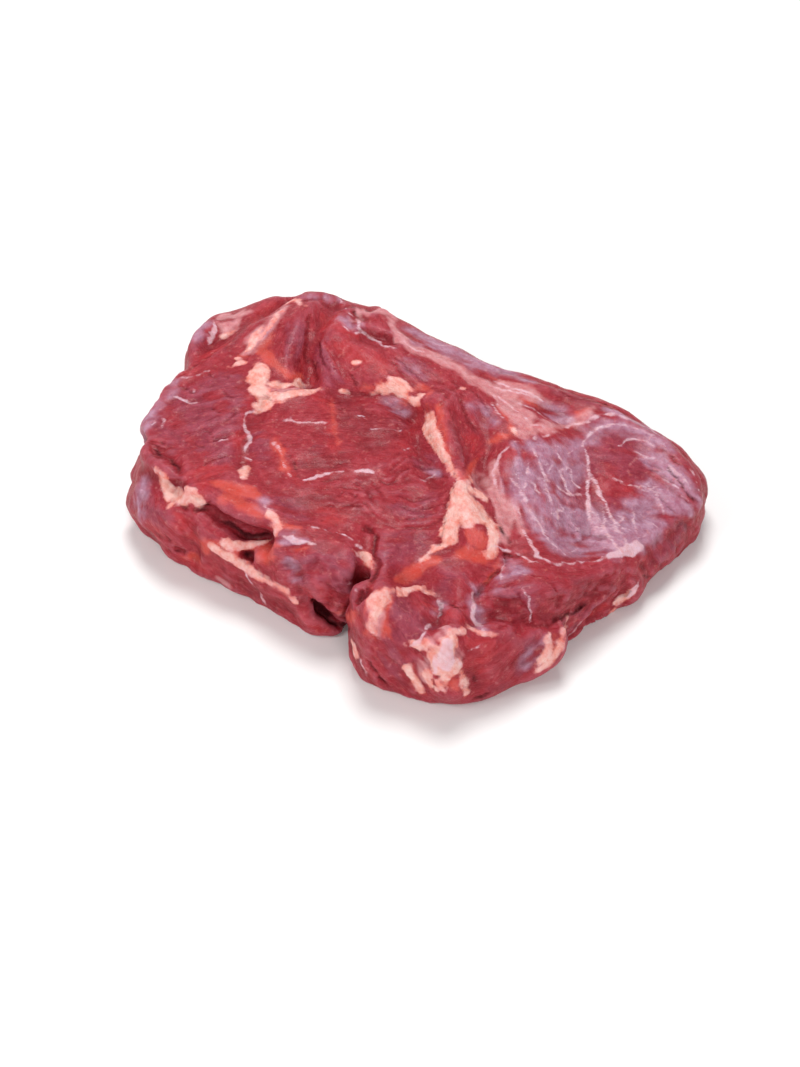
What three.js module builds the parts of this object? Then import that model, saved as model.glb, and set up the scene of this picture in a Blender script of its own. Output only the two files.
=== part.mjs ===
// Raw beef chuck: a boneless piece of shoulder, cut as a thick slab and lying on its flat cut face.
// The slab is one solid. Its upper face shows the cut muscles with their seams, its sides the lobes,
// the folds and the dark gaps between them.
// Millimetres, +Z up. The origin is on the surface that the meat lies on, at the middle of its box.
import * as THREE from "three";

// Overall shape
const MIDDLE_HEIGHT = 47;
const CELLS_ALONG = 66;
const CELLS_ACROSS = 46;
const SIDE_ROWS = 12;

// The widest line round the meat, seen from above, as four runs that meet at the corners.
const FRONT = [[-110, -59], [-100, -76], [-82, -87], [-55, -91], [-25, -89], [5, -89], [21, -89],
  [31, -78], [38, -90], [54, -98], [74, -95], [91, -91]];
const RIGHT = [[105, -78], [115, -58], [121, -38], [124, -15], [129, 10], [134, 36], [135, 60]];
const BACK = [[131, 82], [112, 97], [87, 100], [60, 98], [30, 92], [0, 86], [-40, 83], [-75, 81]];
const LEFT = [[-105, 73], [-125, 54], [-136, 31], [-129, 4], [-119, -20], [-112, -43]];

// How far the top's shoulder and the foot lie inside the widest line, by the way the side faces.
const SHOULDER_INSET = { front: 9, right: 20, back: 14, left: 7 };
const FOOT_INSET = { front: 3, right: 5, back: 8, left: 7 };
const BELLY_HEIGHT = { front: 14, right: 11, back: 18, left: 20 };

// Broad rises and falls of the upper face: middle, half sizes along and across, turn in degrees, rise.
const HILLS = [
  { at: [-84, 38], half: [40, 34], turn: 20, rise: 9 },
  { at: [-38, 42], half: [34, 26], turn: -10, rise: 9 },
  { at: [10, 45], half: [46, 22], turn: -15, rise: 4 },
  { at: [-55, -25], half: [60, 40], turn: 0, rise: 3 },
  { at: [75, -60], half: [34, 28], turn: 0, rise: -8 },
  { at: [118, 40], half: [42, 60], turn: 0, rise: -17 },
  { at: [-112, -52], half: [24, 24], turn: 0, rise: -5 },
  { at: [-126, 48], half: [20, 28], turn: 0, rise: -9 },
];

// Creases (a rise below zero) and raised parts: a path of points, half the width, and the rise at the
// path's start and end. A point with two numbers lies on the upper face, one with three on a side.
const MARKS = [
  // Gap between the two humps at the back left
  { path: [[-79, 60], [-74, 38], [-67, 22], [-57, 8]], half: 9, rise: [-4, -11] },
  // Crack that runs from the middle muscle down into the notch at the front
  { path: [[20, -44], [27, -58], [33, -68], [36, -76, 42], [34, -77, 30]], half: 8, rise: [0, -14] },
  // Hollow under the overhanging lip at the front left, and the lobe below it
  { path: [[-117, -42, 27], [-106, -58, 31], [-96, -69, 35], [-84, -78, 38], [-66, -84, 42]], half: 9, rise: [-8, -9] },
  { path: [[-113, -56, 12], [-98, -78, 15], [-84, -88, 18]], half: 12, rise: [4, 4] },
  // Long gap below the middle of the front rim, the hole under it and the gap beside the notch
  { path: [[-50, -86, 44], [-38, -88, 41], [-26, -88, 39], [-12, -86, 42]], half: 8, rise: [-6, -13] },
  { path: [[-20, -88, 31], [-19, -88, 30]], half: 6, rise: [-7, -7] },
  { path: [[14, -90, 29], [20, -90, 20], [27, -84, 11], [33, -79, 5]], half: 8, rise: [-3, -12] },
  // Rolls of the front side between those gaps
  { path: [[-43, -90, 31], [-30, -90, 32], [-17, -88, 36], [-6, -86, 42]], half: 6, rise: [3, 3] },
  { path: [[-37, -90, 25], [-22, -90, 21], [-8, -89, 18], [6, -89, 21]], half: 7, rise: [3, 3] },
  { path: [[-74, -90, 22], [-58, -91, 27]], half: 15, rise: [4, 4] },
  { path: [[-52, -91, 34], [-48, -91, 22], [-50, -91, 10]], half: 7, rise: [-3, -5] },
  // Seams between the muscles of the front right lobe
  { path: [[79, -42], [85, -56], [91, -68]], half: 8, rise: [-2, -6] },
  { path: [[67, -62], [76, -72], [79, -80]], half: 8, rise: [-2, -5] },
  { path: [[50, -66], [62, -60], [74, -62]], half: 8, rise: [-3, -2] },
  { path: [[96, -57], [106, -52]], half: 12, rise: [-6, -5] },
  // Fat cap and the left edge of that lobe
  { path: [[86, -84, 37], [88, -89, 27], [92, -88, 14]], half: 11, rise: [4, 4] },
  { path: [[101, -80, 26], [103, -79, 12]], half: 7, rise: [-4, -4] },
  { path: [[52, -80], [54, -90, 38], [56, -96, 28]], half: 9, rise: [4, 3] },
  // Seam and loose edge low on the right side
  { path: [[119, -14, 23], [118, -27, 27], [114, -40, 31], [108, -53, 34]], half: 7, rise: [-6, -7] },
  { path: [[118, -31, 27], [119, -36, 18], [117, -44, 11], [114, -55, 7]], half: 7, rise: [5, 4] },
  { path: [[126, 12, 12], [125, 0, 10], [123, -8, 7]], half: 7, rise: [-4, -4] },
  { path: [[113, -52, 22], [112, -58, 18]], half: 9, rise: [-4, -4] },
  // Back side: the muscles that end there, and the seams between them
  { path: [[-62, 84, 42], [-32, 86, 31], [-2, 90, 22], [20, 94, 14]], half: 9, rise: [-4, -5] },
  { path: [[28, 93, 36], [55, 99, 27], [84, 101, 24]], half: 8, rise: [-5, -3] },
  { path: [[58, 99, 11], [95, 101, 13], [122, 92, 18]], half: 10, rise: [3, 3] },
  { path: [[-96, 78, 34], [-74, 83, 20]], half: 14, rise: [4, 4] },
  // Left side: the groove along the red strip, and the piece that hangs below it
  { path: [[-108, 72, 28], [-125, 58, 25], [-136, 34, 20], [-131, 12, 18]], half: 9, rise: [-5, -5] },
  { path: [[-124, -8, 14], [-118, -28, 14]], half: 13, rise: [3, 4] },
  { path: [[-106, 58], [-109, 32], [-112, 8], [-114, -14]], half: 8, rise: [-6, -2] },
  { path: [[-120, -14, 38], [-117, -34, 40]], half: 12, rise: [-3, -3] },
  // Middle muscle and what stands up round it
  { path: [[-46, 5], [-32, 13], [-20, 20], [-2, 19]], half: 8, rise: [-3, -5] },
  { path: [[-66, -18], [-60, -34], [-50, -50], [-42, -62]], half: 8, rise: [-3, -2] },
  { path: [[-80, 2], [-72, -9], [-60, -11], [-47, 4]], half: 9, rise: [2, 2] },
  { path: [[4, 30], [18, 14], [32, 2], [40, -6]], half: 12, rise: [4, 6] },
  { path: [[2, 22], [9, 8], [22, -5], [38, -13]], half: 8, rise: [-4, -3] },
  { path: [[24, 36], [38, 22], [47, 4]], half: 9, rise: [-2, -5] },
  { path: [[46, -14], [58, -24], [68, -28]], half: 15, rise: [4, 5] },
  { path: [[-42, -66], [-28, -70], [-14, -74]], half: 10, rise: [3, 3] },
  // Back: hollow in the second hump, the band of skin and the bed of the long muscle at the right
  { path: [[-48, 46], [-40, 47]], half: 10, rise: [-5, -5] },
  { path: [[-62, 58], [-53, 42], [-34, 40]], half: 8, rise: [-2, -2] },
  { path: [[46, 66], [66, 62], [86, 72]], half: 12, rise: [-4, -3] },
  { path: [[76, 48], [92, 22], [106, -2]], half: 18, rise: [-3, -3] },
];

// Slight unevenness all over, as waves of three directions and lengths.
const WAVES = [
  { length: 34, along: [0.8, 0.5, 0.3], rise: 0.6 },
  { length: 23, along: [-0.3, 0.9, 0.5], rise: 0.4 },
  { length: 17, along: [0.9, -0.5, 0.7], rise: 0.3 },
];

// A value between four, by the direction that a side faces.
function byDirection(values, normal) {
  const right = Math.max(normal.x, 0) ** 2;
  const left = Math.max(-normal.x, 0) ** 2;
  const back = Math.max(normal.y, 0) ** 2;
  const front = Math.max(-normal.y, 0) ** 2;
  return values.right * right + values.left * left + values.back * back + values.front * front;
}

function hill({ at, half, turn, rise }, x, y) {
  const a = THREE.MathUtils.degToRad(turn);
  const u = ((x - at[0]) * Math.cos(a) + (y - at[1]) * Math.sin(a)) / half[0];
  const v = ((y - at[1]) * Math.cos(a) - (x - at[0]) * Math.sin(a)) / half[1];
  return rise * Math.exp(-(u * u + v * v));
}

function topHeight(x, y) {
  return HILLS.reduce((z, h) => z + hill(h, x, y), MIDDLE_HEIGHT);
}

// The four runs as one closed curve, cut again into steps of even length in each run.
function widestLine() {
  const runs = [FRONT, RIGHT, BACK, LEFT];
  const points = runs.flat().map(([x, y]) => new THREE.Vector3(x, y, 0));
  const curve = new THREE.CatmullRomCurve3(points, true, "centripetal");
  const steps = [CELLS_ALONG, CELLS_ACROSS, CELLS_ALONG, CELLS_ACROSS];
  const line = [];
  let start = 0;
  runs.forEach((run, k) => {
    line.push(...evenSteps(curve, start / points.length, (start + run.length) / points.length, steps[k]));
    start += run.length;
  });
  return line;
}

// Points at even distances along a part of a curve, without the last one.
function evenSteps(curve, from, to, steps) {
  const fineness = 480;
  const fine = [];
  for (let i = 0; i <= fineness; i++)
    fine.push(curve.getPoint(from + ((to - from) * i) / fineness));
  const lengths = [0];
  for (let i = 1; i <= fineness; i++)
    lengths.push(lengths[i - 1] + fine[i].distanceTo(fine[i - 1]));
  const points = [];
  let j = 0;
  for (let i = 0; i < steps; i++) {
    const want = (lengths[fineness] * i) / steps;
    while (lengths[j + 1] < want) j++;
    const share = (want - lengths[j]) / (lengths[j + 1] - lengths[j]);
    points.push(fine[j].clone().lerp(fine[j + 1], share));
  }
  return points;
}

// Outward directions of a closed line that runs anticlockwise, evened over a few neighbours.
function outward(line) {
  const reach = 4;
  return line.map((_, i) => {
    const before = line[(i - reach + line.length) % line.length];
    const after = line[(i + reach) % line.length];
    return new THREE.Vector3(after.y - before.y, before.x - after.x, 0).normalize();
  });
}

const vertices = [];
const cells = [];

function addVertex(p) {
  vertices.push(p);
  return vertices.length - 1;
}

// The side: each column runs from the shoulder out over the belly and in to the foot.
function makeSide(line, normals) {
  return line.map((p, i) => {
    const n = normals[i];
    const shoulder = p.clone().addScaledVector(n, -byDirection(SHOULDER_INSET, n));
    shoulder.z = topHeight(shoulder.x, shoulder.y);
    const foot = p.clone().addScaledVector(n, -byDirection(FOOT_INSET, n));
    const rim = p.clone().setZ(shoulder.z * 0.94);
    const low = p.clone().addScaledVector(n, 1).setZ(byDirection(BELLY_HEIGHT, n) * 0.55);
    const profile = new THREE.CubicBezierCurve3(shoulder, rim, low, foot);
    return profile.getSpacedPoints(SIDE_ROWS).map(addVertex);
  });
}

// The upper face: a grid stretched between the four runs of the shoulder line.
function makeTop(columns) {
  const nu = CELLS_ALONG;
  const nv = CELLS_ACROSS;
  const shoulder = (k) => columns[(k + columns.length) % columns.length][0];
  const front = (i) => shoulder(i);
  const right = (j) => shoulder(nu + j);
  const back = (i) => shoulder(2 * nu + nv - i);
  const left = (j) => shoulder(-j);
  const inner = (i, j) => {
    const u = i / nu;
    const v = j / nv;
    const p = new THREE.Vector3();
    p.addScaledVector(vertices[front(i)], 1 - v).addScaledVector(vertices[back(i)], v);
    p.addScaledVector(vertices[left(j)], 1 - u).addScaledVector(vertices[right(j)], u);
    p.addScaledVector(vertices[front(0)], -(1 - u) * (1 - v));
    p.addScaledVector(vertices[front(nu)], -u * (1 - v));
    p.addScaledVector(vertices[back(0)], -(1 - u) * v);
    p.addScaledVector(vertices[back(nu)], -u * v);
    return addVertex(p.setZ(topHeight(p.x, p.y)));
  };
  const grid = [];
  for (let i = 0; i <= nu; i++) {
    grid.push([]);
    for (let j = 0; j <= nv; j++) {
      if (j === 0) grid[i].push(front(i));
      else if (j === nv) grid[i].push(back(i));
      else if (i === 0) grid[i].push(left(j));
      else if (i === nu) grid[i].push(right(j));
      else grid[i].push(inner(i, j));
    }
  }
  for (let i = 0; i < nu; i++)
    for (let j = 0; j < nv; j++)
      cells.push([grid[i][j], grid[i + 1][j], grid[i + 1][j + 1], grid[i][j + 1]]);
}

function closeSide(columns) {
  columns.forEach((column, i) => {
    const next = columns[(i + 1) % columns.length];
    for (let k = 0; k < SIDE_ROWS; k++)
      cells.push([column[k], column[k + 1], next[k + 1], next[k]]);
  });
}

// The flat foot, turned to face down.
function footFaces(columns) {
  const foot = columns.map((column) => column[SIDE_ROWS]);
  const contour = foot.map((k) => new THREE.Vector2(vertices[k].x, vertices[k].y));
  return THREE.ShapeUtils.triangulateShape(contour, []).map(([a, b, c]) => [foot[a], foot[c], foot[b]]);
}

// A mark's path as short straight pieces, with the points of the upper face lifted onto it.
function piecesOf({ path }) {
  const points = path.map(([x, y, z]) => new THREE.Vector3(x, y, z ?? topHeight(x, y)));
  return points.slice(1).map((p, i) => new THREE.Line3(points[i], p));
}

// How much a mark lifts a point: its rise at the nearest place of its path, less with the distance.
function lift({ pieces, half, rise }, p) {
  const nearest = new THREE.Vector3();
  let shortest = half;
  let share = 0;
  pieces.forEach((piece, i) => {
    const t = piece.closestPointToPointParameter(p, true);
    const distance = piece.at(t, nearest).distanceTo(p);
    if (distance < shortest) {
      shortest = distance;
      share = (i + t) / pieces.length;
    }
  });
  return THREE.MathUtils.lerp(rise[0], rise[1], share) * (1 - (shortest / half) ** 2) ** 2;
}

function unevenness(p) {
  return WAVES.reduce((sum, { length, along, rise }) => {
    const phase = (p.dot(new THREE.Vector3(...along).normalize()) * 2 * Math.PI) / length;
    return sum + rise * Math.sin(phase);
  }, 0);
}

// A point moved along its outward direction by the marks. Those of the foot stay on the ground.
function carved(p, direction, marks) {
  const n = direction.clone();
  const isFoot = p.z < 0.01;
  if (isFoot) n.z = 0;
  const rise = marks.reduce((sum, mark) => sum + lift(mark, p), unevenness(p));
  const moved = p.clone().addScaledVector(n, rise);
  if (!isFoot) moved.z = Math.max(moved.z, 0.5);
  return moved;
}

// Outward directions of all the points, from the faces that meet at them.
function directionsOf(triangles) {
  const directions = vertices.map(() => new THREE.Vector3());
  for (const corners of triangles) {
    const normal = new THREE.Triangle(...corners.map((k) => vertices[k])).getNormal(new THREE.Vector3());
    corners.forEach((k) => directions[k].add(normal));
  }
  return directions.map((n) => n.normalize());
}

const middleOf = (points) => points.reduce((sum, p) => sum.add(p), new THREE.Vector3()).divideScalar(points.length);

// Cuts a cell into two faces along the diagonal that passes nearer to the carved middle of the cell.
function splitCell(cell, directions, after, marks) {
  const [a, b, c, d] = cell;
  const direction = middleOf(cell.map((k) => directions[k])).normalize();
  const middle = carved(middleOf(cell.map((k) => vertices[k])), direction, marks);
  const first = middleOf([after[a], after[c]]).distanceTo(middle);
  const second = middleOf([after[b], after[d]]).distanceTo(middle);
  return first <= second ? [[a, b, c], [a, c, d]] : [[a, b, d], [b, c, d]];
}

function makeMeat() {
  const line = widestLine();
  const columns = makeSide(line, outward(line));
  makeTop(columns);
  closeSide(columns);
  const foot = footFaces(columns);
  const marks = MARKS.map((mark) => ({ ...mark, pieces: piecesOf(mark) }));
  const directions = directionsOf([...cells.flatMap(([a, b, c, d]) => [[a, b, c], [a, c, d]]), ...foot]);
  const after = vertices.map((p, k) => carved(p, directions[k], marks));
  const faces = [...cells.flatMap((cell) => splitCell(cell, directions, after, marks)), ...foot];
  const geometry = new THREE.BufferGeometry();
  geometry.setAttribute("position", new THREE.Float32BufferAttribute(after.flatMap((p) => p.toArray()), 3));
  geometry.setIndex(faces.flat());
  geometry.computeVertexNormals();
  const meat = new THREE.MeshStandardMaterial({ color: 0x9c2f36, roughness: 0.35, metalness: 0 });
  const mesh = new THREE.Mesh(geometry, meat);
  mesh.name = "beef_chuck";
  return mesh;
}

const chuck = new THREE.Group();
chuck.add(makeMeat());

export default chuck;
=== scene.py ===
# %% [markdown]
# # A raw beef chuck
# Two kilograms of boneless shoulder, as a butcher lays it down: several muscles that run in
# different directions, held together by seams of fat and by silverskin. The imported model is one plain
# solid of the right size. This lesson keeps its form and gives it the surface of real meat.
# Colour could come from a picture wrapped round the form. Here it comes from marks that are laid on the
# surface one tissue at a time, so that each tissue can also stand proud, sink in and shine in its own way.
# Some of the marks are painted shade, painted highlights and painted glints.

# %% Load the imported part
import math

import bmesh
import bpy
import numpy as np
from mathutils import Matrix, Vector, geometry, noise
from mathutils.bvhtree import BVHTree


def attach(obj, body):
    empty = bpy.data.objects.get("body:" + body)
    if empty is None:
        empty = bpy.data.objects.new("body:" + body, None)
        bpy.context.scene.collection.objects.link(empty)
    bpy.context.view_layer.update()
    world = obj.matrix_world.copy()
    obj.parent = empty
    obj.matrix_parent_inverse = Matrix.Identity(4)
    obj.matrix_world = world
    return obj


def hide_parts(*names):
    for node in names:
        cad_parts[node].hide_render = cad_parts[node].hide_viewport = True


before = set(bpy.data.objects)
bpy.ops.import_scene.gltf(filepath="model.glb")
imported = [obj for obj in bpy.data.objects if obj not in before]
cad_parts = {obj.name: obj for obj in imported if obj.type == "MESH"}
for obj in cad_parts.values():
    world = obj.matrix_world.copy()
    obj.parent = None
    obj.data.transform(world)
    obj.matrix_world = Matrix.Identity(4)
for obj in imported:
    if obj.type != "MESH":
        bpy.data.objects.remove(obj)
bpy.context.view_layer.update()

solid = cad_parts["beef_chuck"]
print("the solid has", len(solid.data.polygons), "triangles")

# %% [markdown]
# ## The camera
# The photograph looks down on the meat from the front right, from about a metre away. Its focal length,
# angle and distance were worked out from the outline of what the meat lies on, so the same numbers also
# say which point of the surface a pixel of the photograph shows. Every mark below is placed that way.

# %% Camera at the photograph's angle
PHOTO_WIDE = 800
PHOTO_HIGH = 1067
FOCAL_PIXELS = 2093.78
SENSOR_MM = 36.0
AZIMUTH = math.radians(33.91)
ELEVATION = math.radians(44.768)
ROLL = math.radians(1.7465)
DISTANCE_MM = 1011.3
AIM_MM = np.array([11.61, -9.35, 0.0])
MM = 0.001


def camera_axes():
    """The camera's right, up and back directions, in the part's frame."""
    flat = math.cos(ELEVATION)
    back = np.array([math.sin(AZIMUTH) * flat, -math.cos(AZIMUTH) * flat, math.sin(ELEVATION)])
    level = np.array([math.cos(AZIMUTH), math.sin(AZIMUTH), 0.0])
    upright = np.cross(back, level)
    right = level * math.cos(ROLL) + upright * math.sin(ROLL)
    up = upright * math.cos(ROLL) - level * math.sin(ROLL)
    return right, up, back


RIGHT, UP, BACK = camera_axes()
EYE_MM = AIM_MM + BACK * DISTANCE_MM


def make_camera():
    """A camera that frames the meat as the photograph does."""
    data = bpy.data.cameras.new("camera")
    data.sensor_width = SENSOR_MM
    data.lens = FOCAL_PIXELS * SENSOR_MM / max(PHOTO_WIDE, PHOTO_HIGH)
    camera = bpy.data.objects.new("camera", data)
    bpy.context.scene.collection.objects.link(camera)
    turn = Matrix([RIGHT, UP, BACK]).transposed().to_4x4()
    camera.matrix_world = Matrix.Translation(EYE_MM * MM) @ turn
    bpy.context.scene.camera = camera
    return camera


print("lens", round(make_camera().data.lens, 2), "mm")

# %% [markdown]
# ## A close, even skin over the solid
# The solid has flat facets four millimetres wide, far too coarse for fibres and seams. Cutting every facet
# into smaller ones would keep the flat look, so the copy is first rounded with a subdivision surface and
# then remeshed with voxels, which gives small squares of the same size all over, also where a crevice
# was carved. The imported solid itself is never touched.

# %% Copy, round and remesh
WELD_MM = 0.01
QUAD_ANGLE = math.radians(50)
FORM_CELL_MM = 1.35
SKIN_CELL_MM = 1.07


def rounded_copy(node, name):
    """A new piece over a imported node, with welded corners and four-sided faces."""
    form = bmesh.new()
    form.from_mesh(node.data)
    bmesh.ops.remove_doubles(form, verts=form.verts, dist=WELD_MM * MM)
    bmesh.ops.join_triangles(
        form,
        faces=form.faces,
        angle_face_threshold=QUAD_ANGLE,
        angle_shape_threshold=QUAD_ANGLE,
    )
    mesh = bpy.data.meshes.new(name)
    form.to_mesh(mesh)
    form.free()
    piece = bpy.data.objects.new(name, mesh)
    bpy.context.scene.collection.objects.link(piece)
    return piece


def remesh(piece, cell_mm, rounding=0):
    """Rounds a piece, remeshes it with voxels of a given size and keeps the result as its mesh."""
    if rounding:
        smooth = piece.modifiers.new("rounding", "SUBSURF")
        smooth.levels = rounding
        smooth.render_levels = rounding
    voxels = piece.modifiers.new("voxels", "REMESH")
    voxels.mode = "VOXEL"
    voxels.voxel_size = cell_mm * MM
    depsgraph = bpy.context.evaluated_depsgraph_get()
    made = bpy.data.meshes.new_from_object(piece.evaluated_get(depsgraph))
    piece.modifiers.clear()
    old = piece.data
    piece.data = made
    bpy.data.meshes.remove(old)


meat = rounded_copy(solid, "raw_meat")
remesh(meat, FORM_CELL_MM, rounding=2)
print("the form has", len(meat.data.polygons), "squares")

# %% [markdown]
# ## Reading the surface as numbers
# Thousands of vertices are quicker to move as one table than one at a time. A skin holds where the
# vertices are, which way each faces and a tree that finds what a ray hits. A pixel of the photograph
# becomes a ray from the camera, and the ray's hit is where the mark goes. Beside the outline a ray misses,
# and then the nearest point of the meat is taken.

# %% The skin and its rays
NEAREST_ROUNDS = 6
PIXEL_STEP = 6.0


def numbers(rows, name, width):
    """One property of Blender's vertices or edges, as a table."""
    flat = np.empty(len(rows) * width, np.float32)
    rows.foreach_get(name, flat)
    return flat.reshape(-1, width).astype(float)


class Skin:
    """A mesh as numbers, in millimetres, with a tree that rays are cast at."""

    def __init__(self, mesh):
        self.mesh = mesh
        self.spots = numbers(mesh.vertices, "co", 3) / MM
        self.facing = numbers(mesh.vertex_normals, "vector", 3)
        faces = [face.vertices[:] for face in mesh.polygons]
        self.tree = BVHTree.FromPolygons(self.spots.tolist(), faces)

    def shown_at(self, across, down):
        """The point that a pixel shows, or the nearest one of the meat."""
        ray = RIGHT * (across - PHOTO_WIDE / 2) - UP * (down - PHOTO_HIGH / 2) - BACK * FOCAL_PIXELS
        ray = ray / np.linalg.norm(ray)
        hit = self.tree.ray_cast(Vector(EYE_MM), Vector(ray))[0]
        if hit is not None:
            return np.array(hit)
        reach = DISTANCE_MM
        for _ in range(NEAREST_ROUNDS):
            hit = np.array(self.tree.find_nearest(Vector(EYE_MM + ray * reach))[0])
            reach = (hit - EYE_MM) @ ray
        return hit

    def move(self, relief, ways=(1, 1, 1)):
        """Moves every vertex along its normal, or part of it, by so many millimetres."""
        self.spots = self.spots + self.facing * relief[:, None] * ways
        self.spots[:, 2] = np.maximum(self.spots[:, 2], 0.0)
        self.mesh.vertices.foreach_set("co", (self.spots * MM).astype(np.float32).ravel())
        self.mesh.update()


form = Skin(meat.data)
print("the middle of the photograph shows", form.shown_at(PHOTO_WIDE / 2, PHOTO_HIGH / 2).round(1))

# %% [markdown]
# ## Marks
# A mark is a short list of points, each with a place across and down the photograph and a half width,
# all in its pixels. It is cast on the meat a few pixels at a time, and each vertex then learns how far
# inside the mark it lies. The edge would look drawn with a ruler, so the vertices are first shifted by
# a smooth noise, and a straight mark comes out as uneven as tissue is.

# %% From marks to masks
# Each warp is how far the spots are shifted and how large the lumps of its noise are.
WARPS_MM = ((1.6, 8.0), (1.0, 3.2))
WARP_SEEDS = (1, 2, 3)
NOISE_STEPS = (17.3, 5.7, 11.9)
# A tapered mark keeps this share of its half width at its two ends.
TAPER = 0.35


def noise_at(spots, size_mm, seed):
    """Smooth noise from about -1 to 1 at every spot, with lumps of a given size."""
    shift = Vector([seed * step for step in NOISE_STEPS])
    scaled = (spots / size_mm).tolist()
    return np.array([noise.noise(Vector(place) + shift) for place in scaled])


def warped(spots):
    """The same spots, shifted a little each way by a wide and a narrow noise."""
    shifted = spots
    for far, size in WARPS_MM:
        shifts = [noise_at(spots, size, seed) for seed in WARP_SEEDS]
        shifted = shifted + far * np.stack(shifts, axis=1)
    return shifted


def cast(skin, points, taper=1.0):
    """A mark's route on the meat, in millimetres, with its half width at each step."""
    route = []
    halves = []
    ends = points if len(points) > 1 else points * 2
    for start, end in zip(ends, ends[1:]):
        steps = max(1, round(math.dist(start[:2], end[:2]) / PIXEL_STEP))
        for step in range(steps + 1):
            across, down, half = np.array(start) + (np.array(end) - start) * step / steps
            place = skin.shown_at(across, down)
            route.append(place)
            halves.append(half * ((EYE_MM - place) @ BACK) / FOCAL_PIXELS)
    halves[0] *= taper
    halves[-1] *= taper
    return np.array(route), np.array(halves)


def inside(spots, route, halves, soft, centre=0.5):
    """1 inside a mark and 0 outside, for every spot, with the value of centre on its edge."""
    reach = np.zeros(len(spots))
    for start, end, half_start, half_end in zip(route, route[1:], halves, halves[1:]):
        span = end - start
        long = span @ span
        limit = max(half_start, half_end) + soft + math.sqrt(long) / 2
        near = np.flatnonzero((np.abs(spots - (start + end) / 2) < limit).all(axis=1))
        off = spots[near] - start
        along = np.clip(off @ span / long, 0, 1) if long > 0 else np.zeros(len(near))
        away = np.linalg.norm(off - along[:, None] * span, axis=1)
        half = half_start + (half_end - half_start) * along
        reach[near] = np.maximum(reach[near], np.clip(centre + (half - away) / soft, 0, 1))
    return reach


def mask(skin, spots, marks, soft, taper=1.0, centre=0.5):
    """The reach of a whole set of marks on the meat."""
    reach = np.zeros(len(spots))
    for points in marks.values():
        route, halves = cast(skin, points, taper)
        reach = np.maximum(reach, inside(spots, route, halves, soft, centre))
    return reach


def eased(reach):
    """A straight ramp turned into a soft shoulder."""
    return reach * reach * (3 - 2 * reach)


form_spots = warped(form.spots)
print("vertices of the form:", len(form_spots))

# %% [markdown]
# ## Crevices, lips and ridges
# Where muscles meet, the meat falls open in crevices, and a knife leaves flaps and ridges. They are forms
# that a hand could feel, several millimetres deep, so they are carved before the skin gets its final
# mesh. Sculpting by hand would do as well, but marks with a depth can be repeated and corrected.
# Near the flat underside the carving fades out, so that the meat still lies flat. Before it, walls that
# stand a few millimetres off the outline in the photograph are nudged in or out, at every height alike.

# %% Carve the form
FOOT_FADE_MM = 5.0
LEVEL = np.array([1, 1, 0])

PITS = {
    "hole under the lip": [(243, 551, 3), (248, 554, 4), (253, 558, 3)],
    "slit of the mouth": [(236, 530, 1.5), (248, 534, 2.5), (260, 536, 2.5), (270, 535, 2)],
    "cavity beside the notch": [(314, 598, 2), (320, 606, 4.5), (327, 613, 4), (333, 617, 2)],
    "pit at the crack": [(361, 591, 3), (361, 599, 4)],
    "gap beside the notch": [(335, 622, 2), (342, 625, 4), (349, 628, 4)],
}
HOLLOWS = {
    "mouth": [(210, 512, 4), (222, 517, 7), (238, 523, 8), (253, 529, 7), (266, 534, 4)],
    "recess under the left lip": [(152, 448, 5), (162, 453, 6), (174, 461, 6), (182, 471, 4)],
    "pocket by the cream piece": [(176, 482, 3), (184, 484, 3)],
    "hollow at the back": [(366, 330, 4), (376, 335, 6), (386, 339, 6), (396, 342, 3)],
    "beside the notch": [(314, 600, 5), (326, 611, 7), (340, 622, 7), (348, 628, 4)],
    "front muscle": [(292, 562, 9), (304, 572, 8), (316, 566, 6)],
    "face under the lobe": [(500, 610, 10), (530, 610, 10), (560, 602, 8)],
}
CREVICES = {
    "crease between the humps": [
        (310, 316, 0.5), (309, 325, 1), (307, 345, 1), (305, 356, 1), (312, 367, 1),
        (317, 380, 0.5),
    ],
    "crack": [
        (366, 529, 3), (373, 534, 2), (374, 550, 2), (376, 570, 2), (371, 585, 2),
        (366, 596, 3),
    ],
    "under the cream piece": [(180, 506, 1), (195, 508, 1.5), (208, 508, 3)],
    "gap behind the foot flap": [(176, 547, 2), (183, 552, 3)],
    "slot on the right side": [
        (549, 623, 1.5), (560, 618, 2), (570, 614, 2.5), (578, 609, 3), (590, 606, 2),
    ],
    "seam on the right side": [(601, 580, 1), (609, 575, 2), (616, 573, 1)],
    "crease of the front lobe": [(498, 571, 2), (489, 578, 2), (482, 587, 2), (475, 600, 1.5)],
    "lower slots": [(504, 562, 2), (506, 554, 2), (520, 556, 1.5)],
    "under the left lip": [(147, 443, 1), (156, 445, 1.5), (166, 448, 1)],
}
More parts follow.
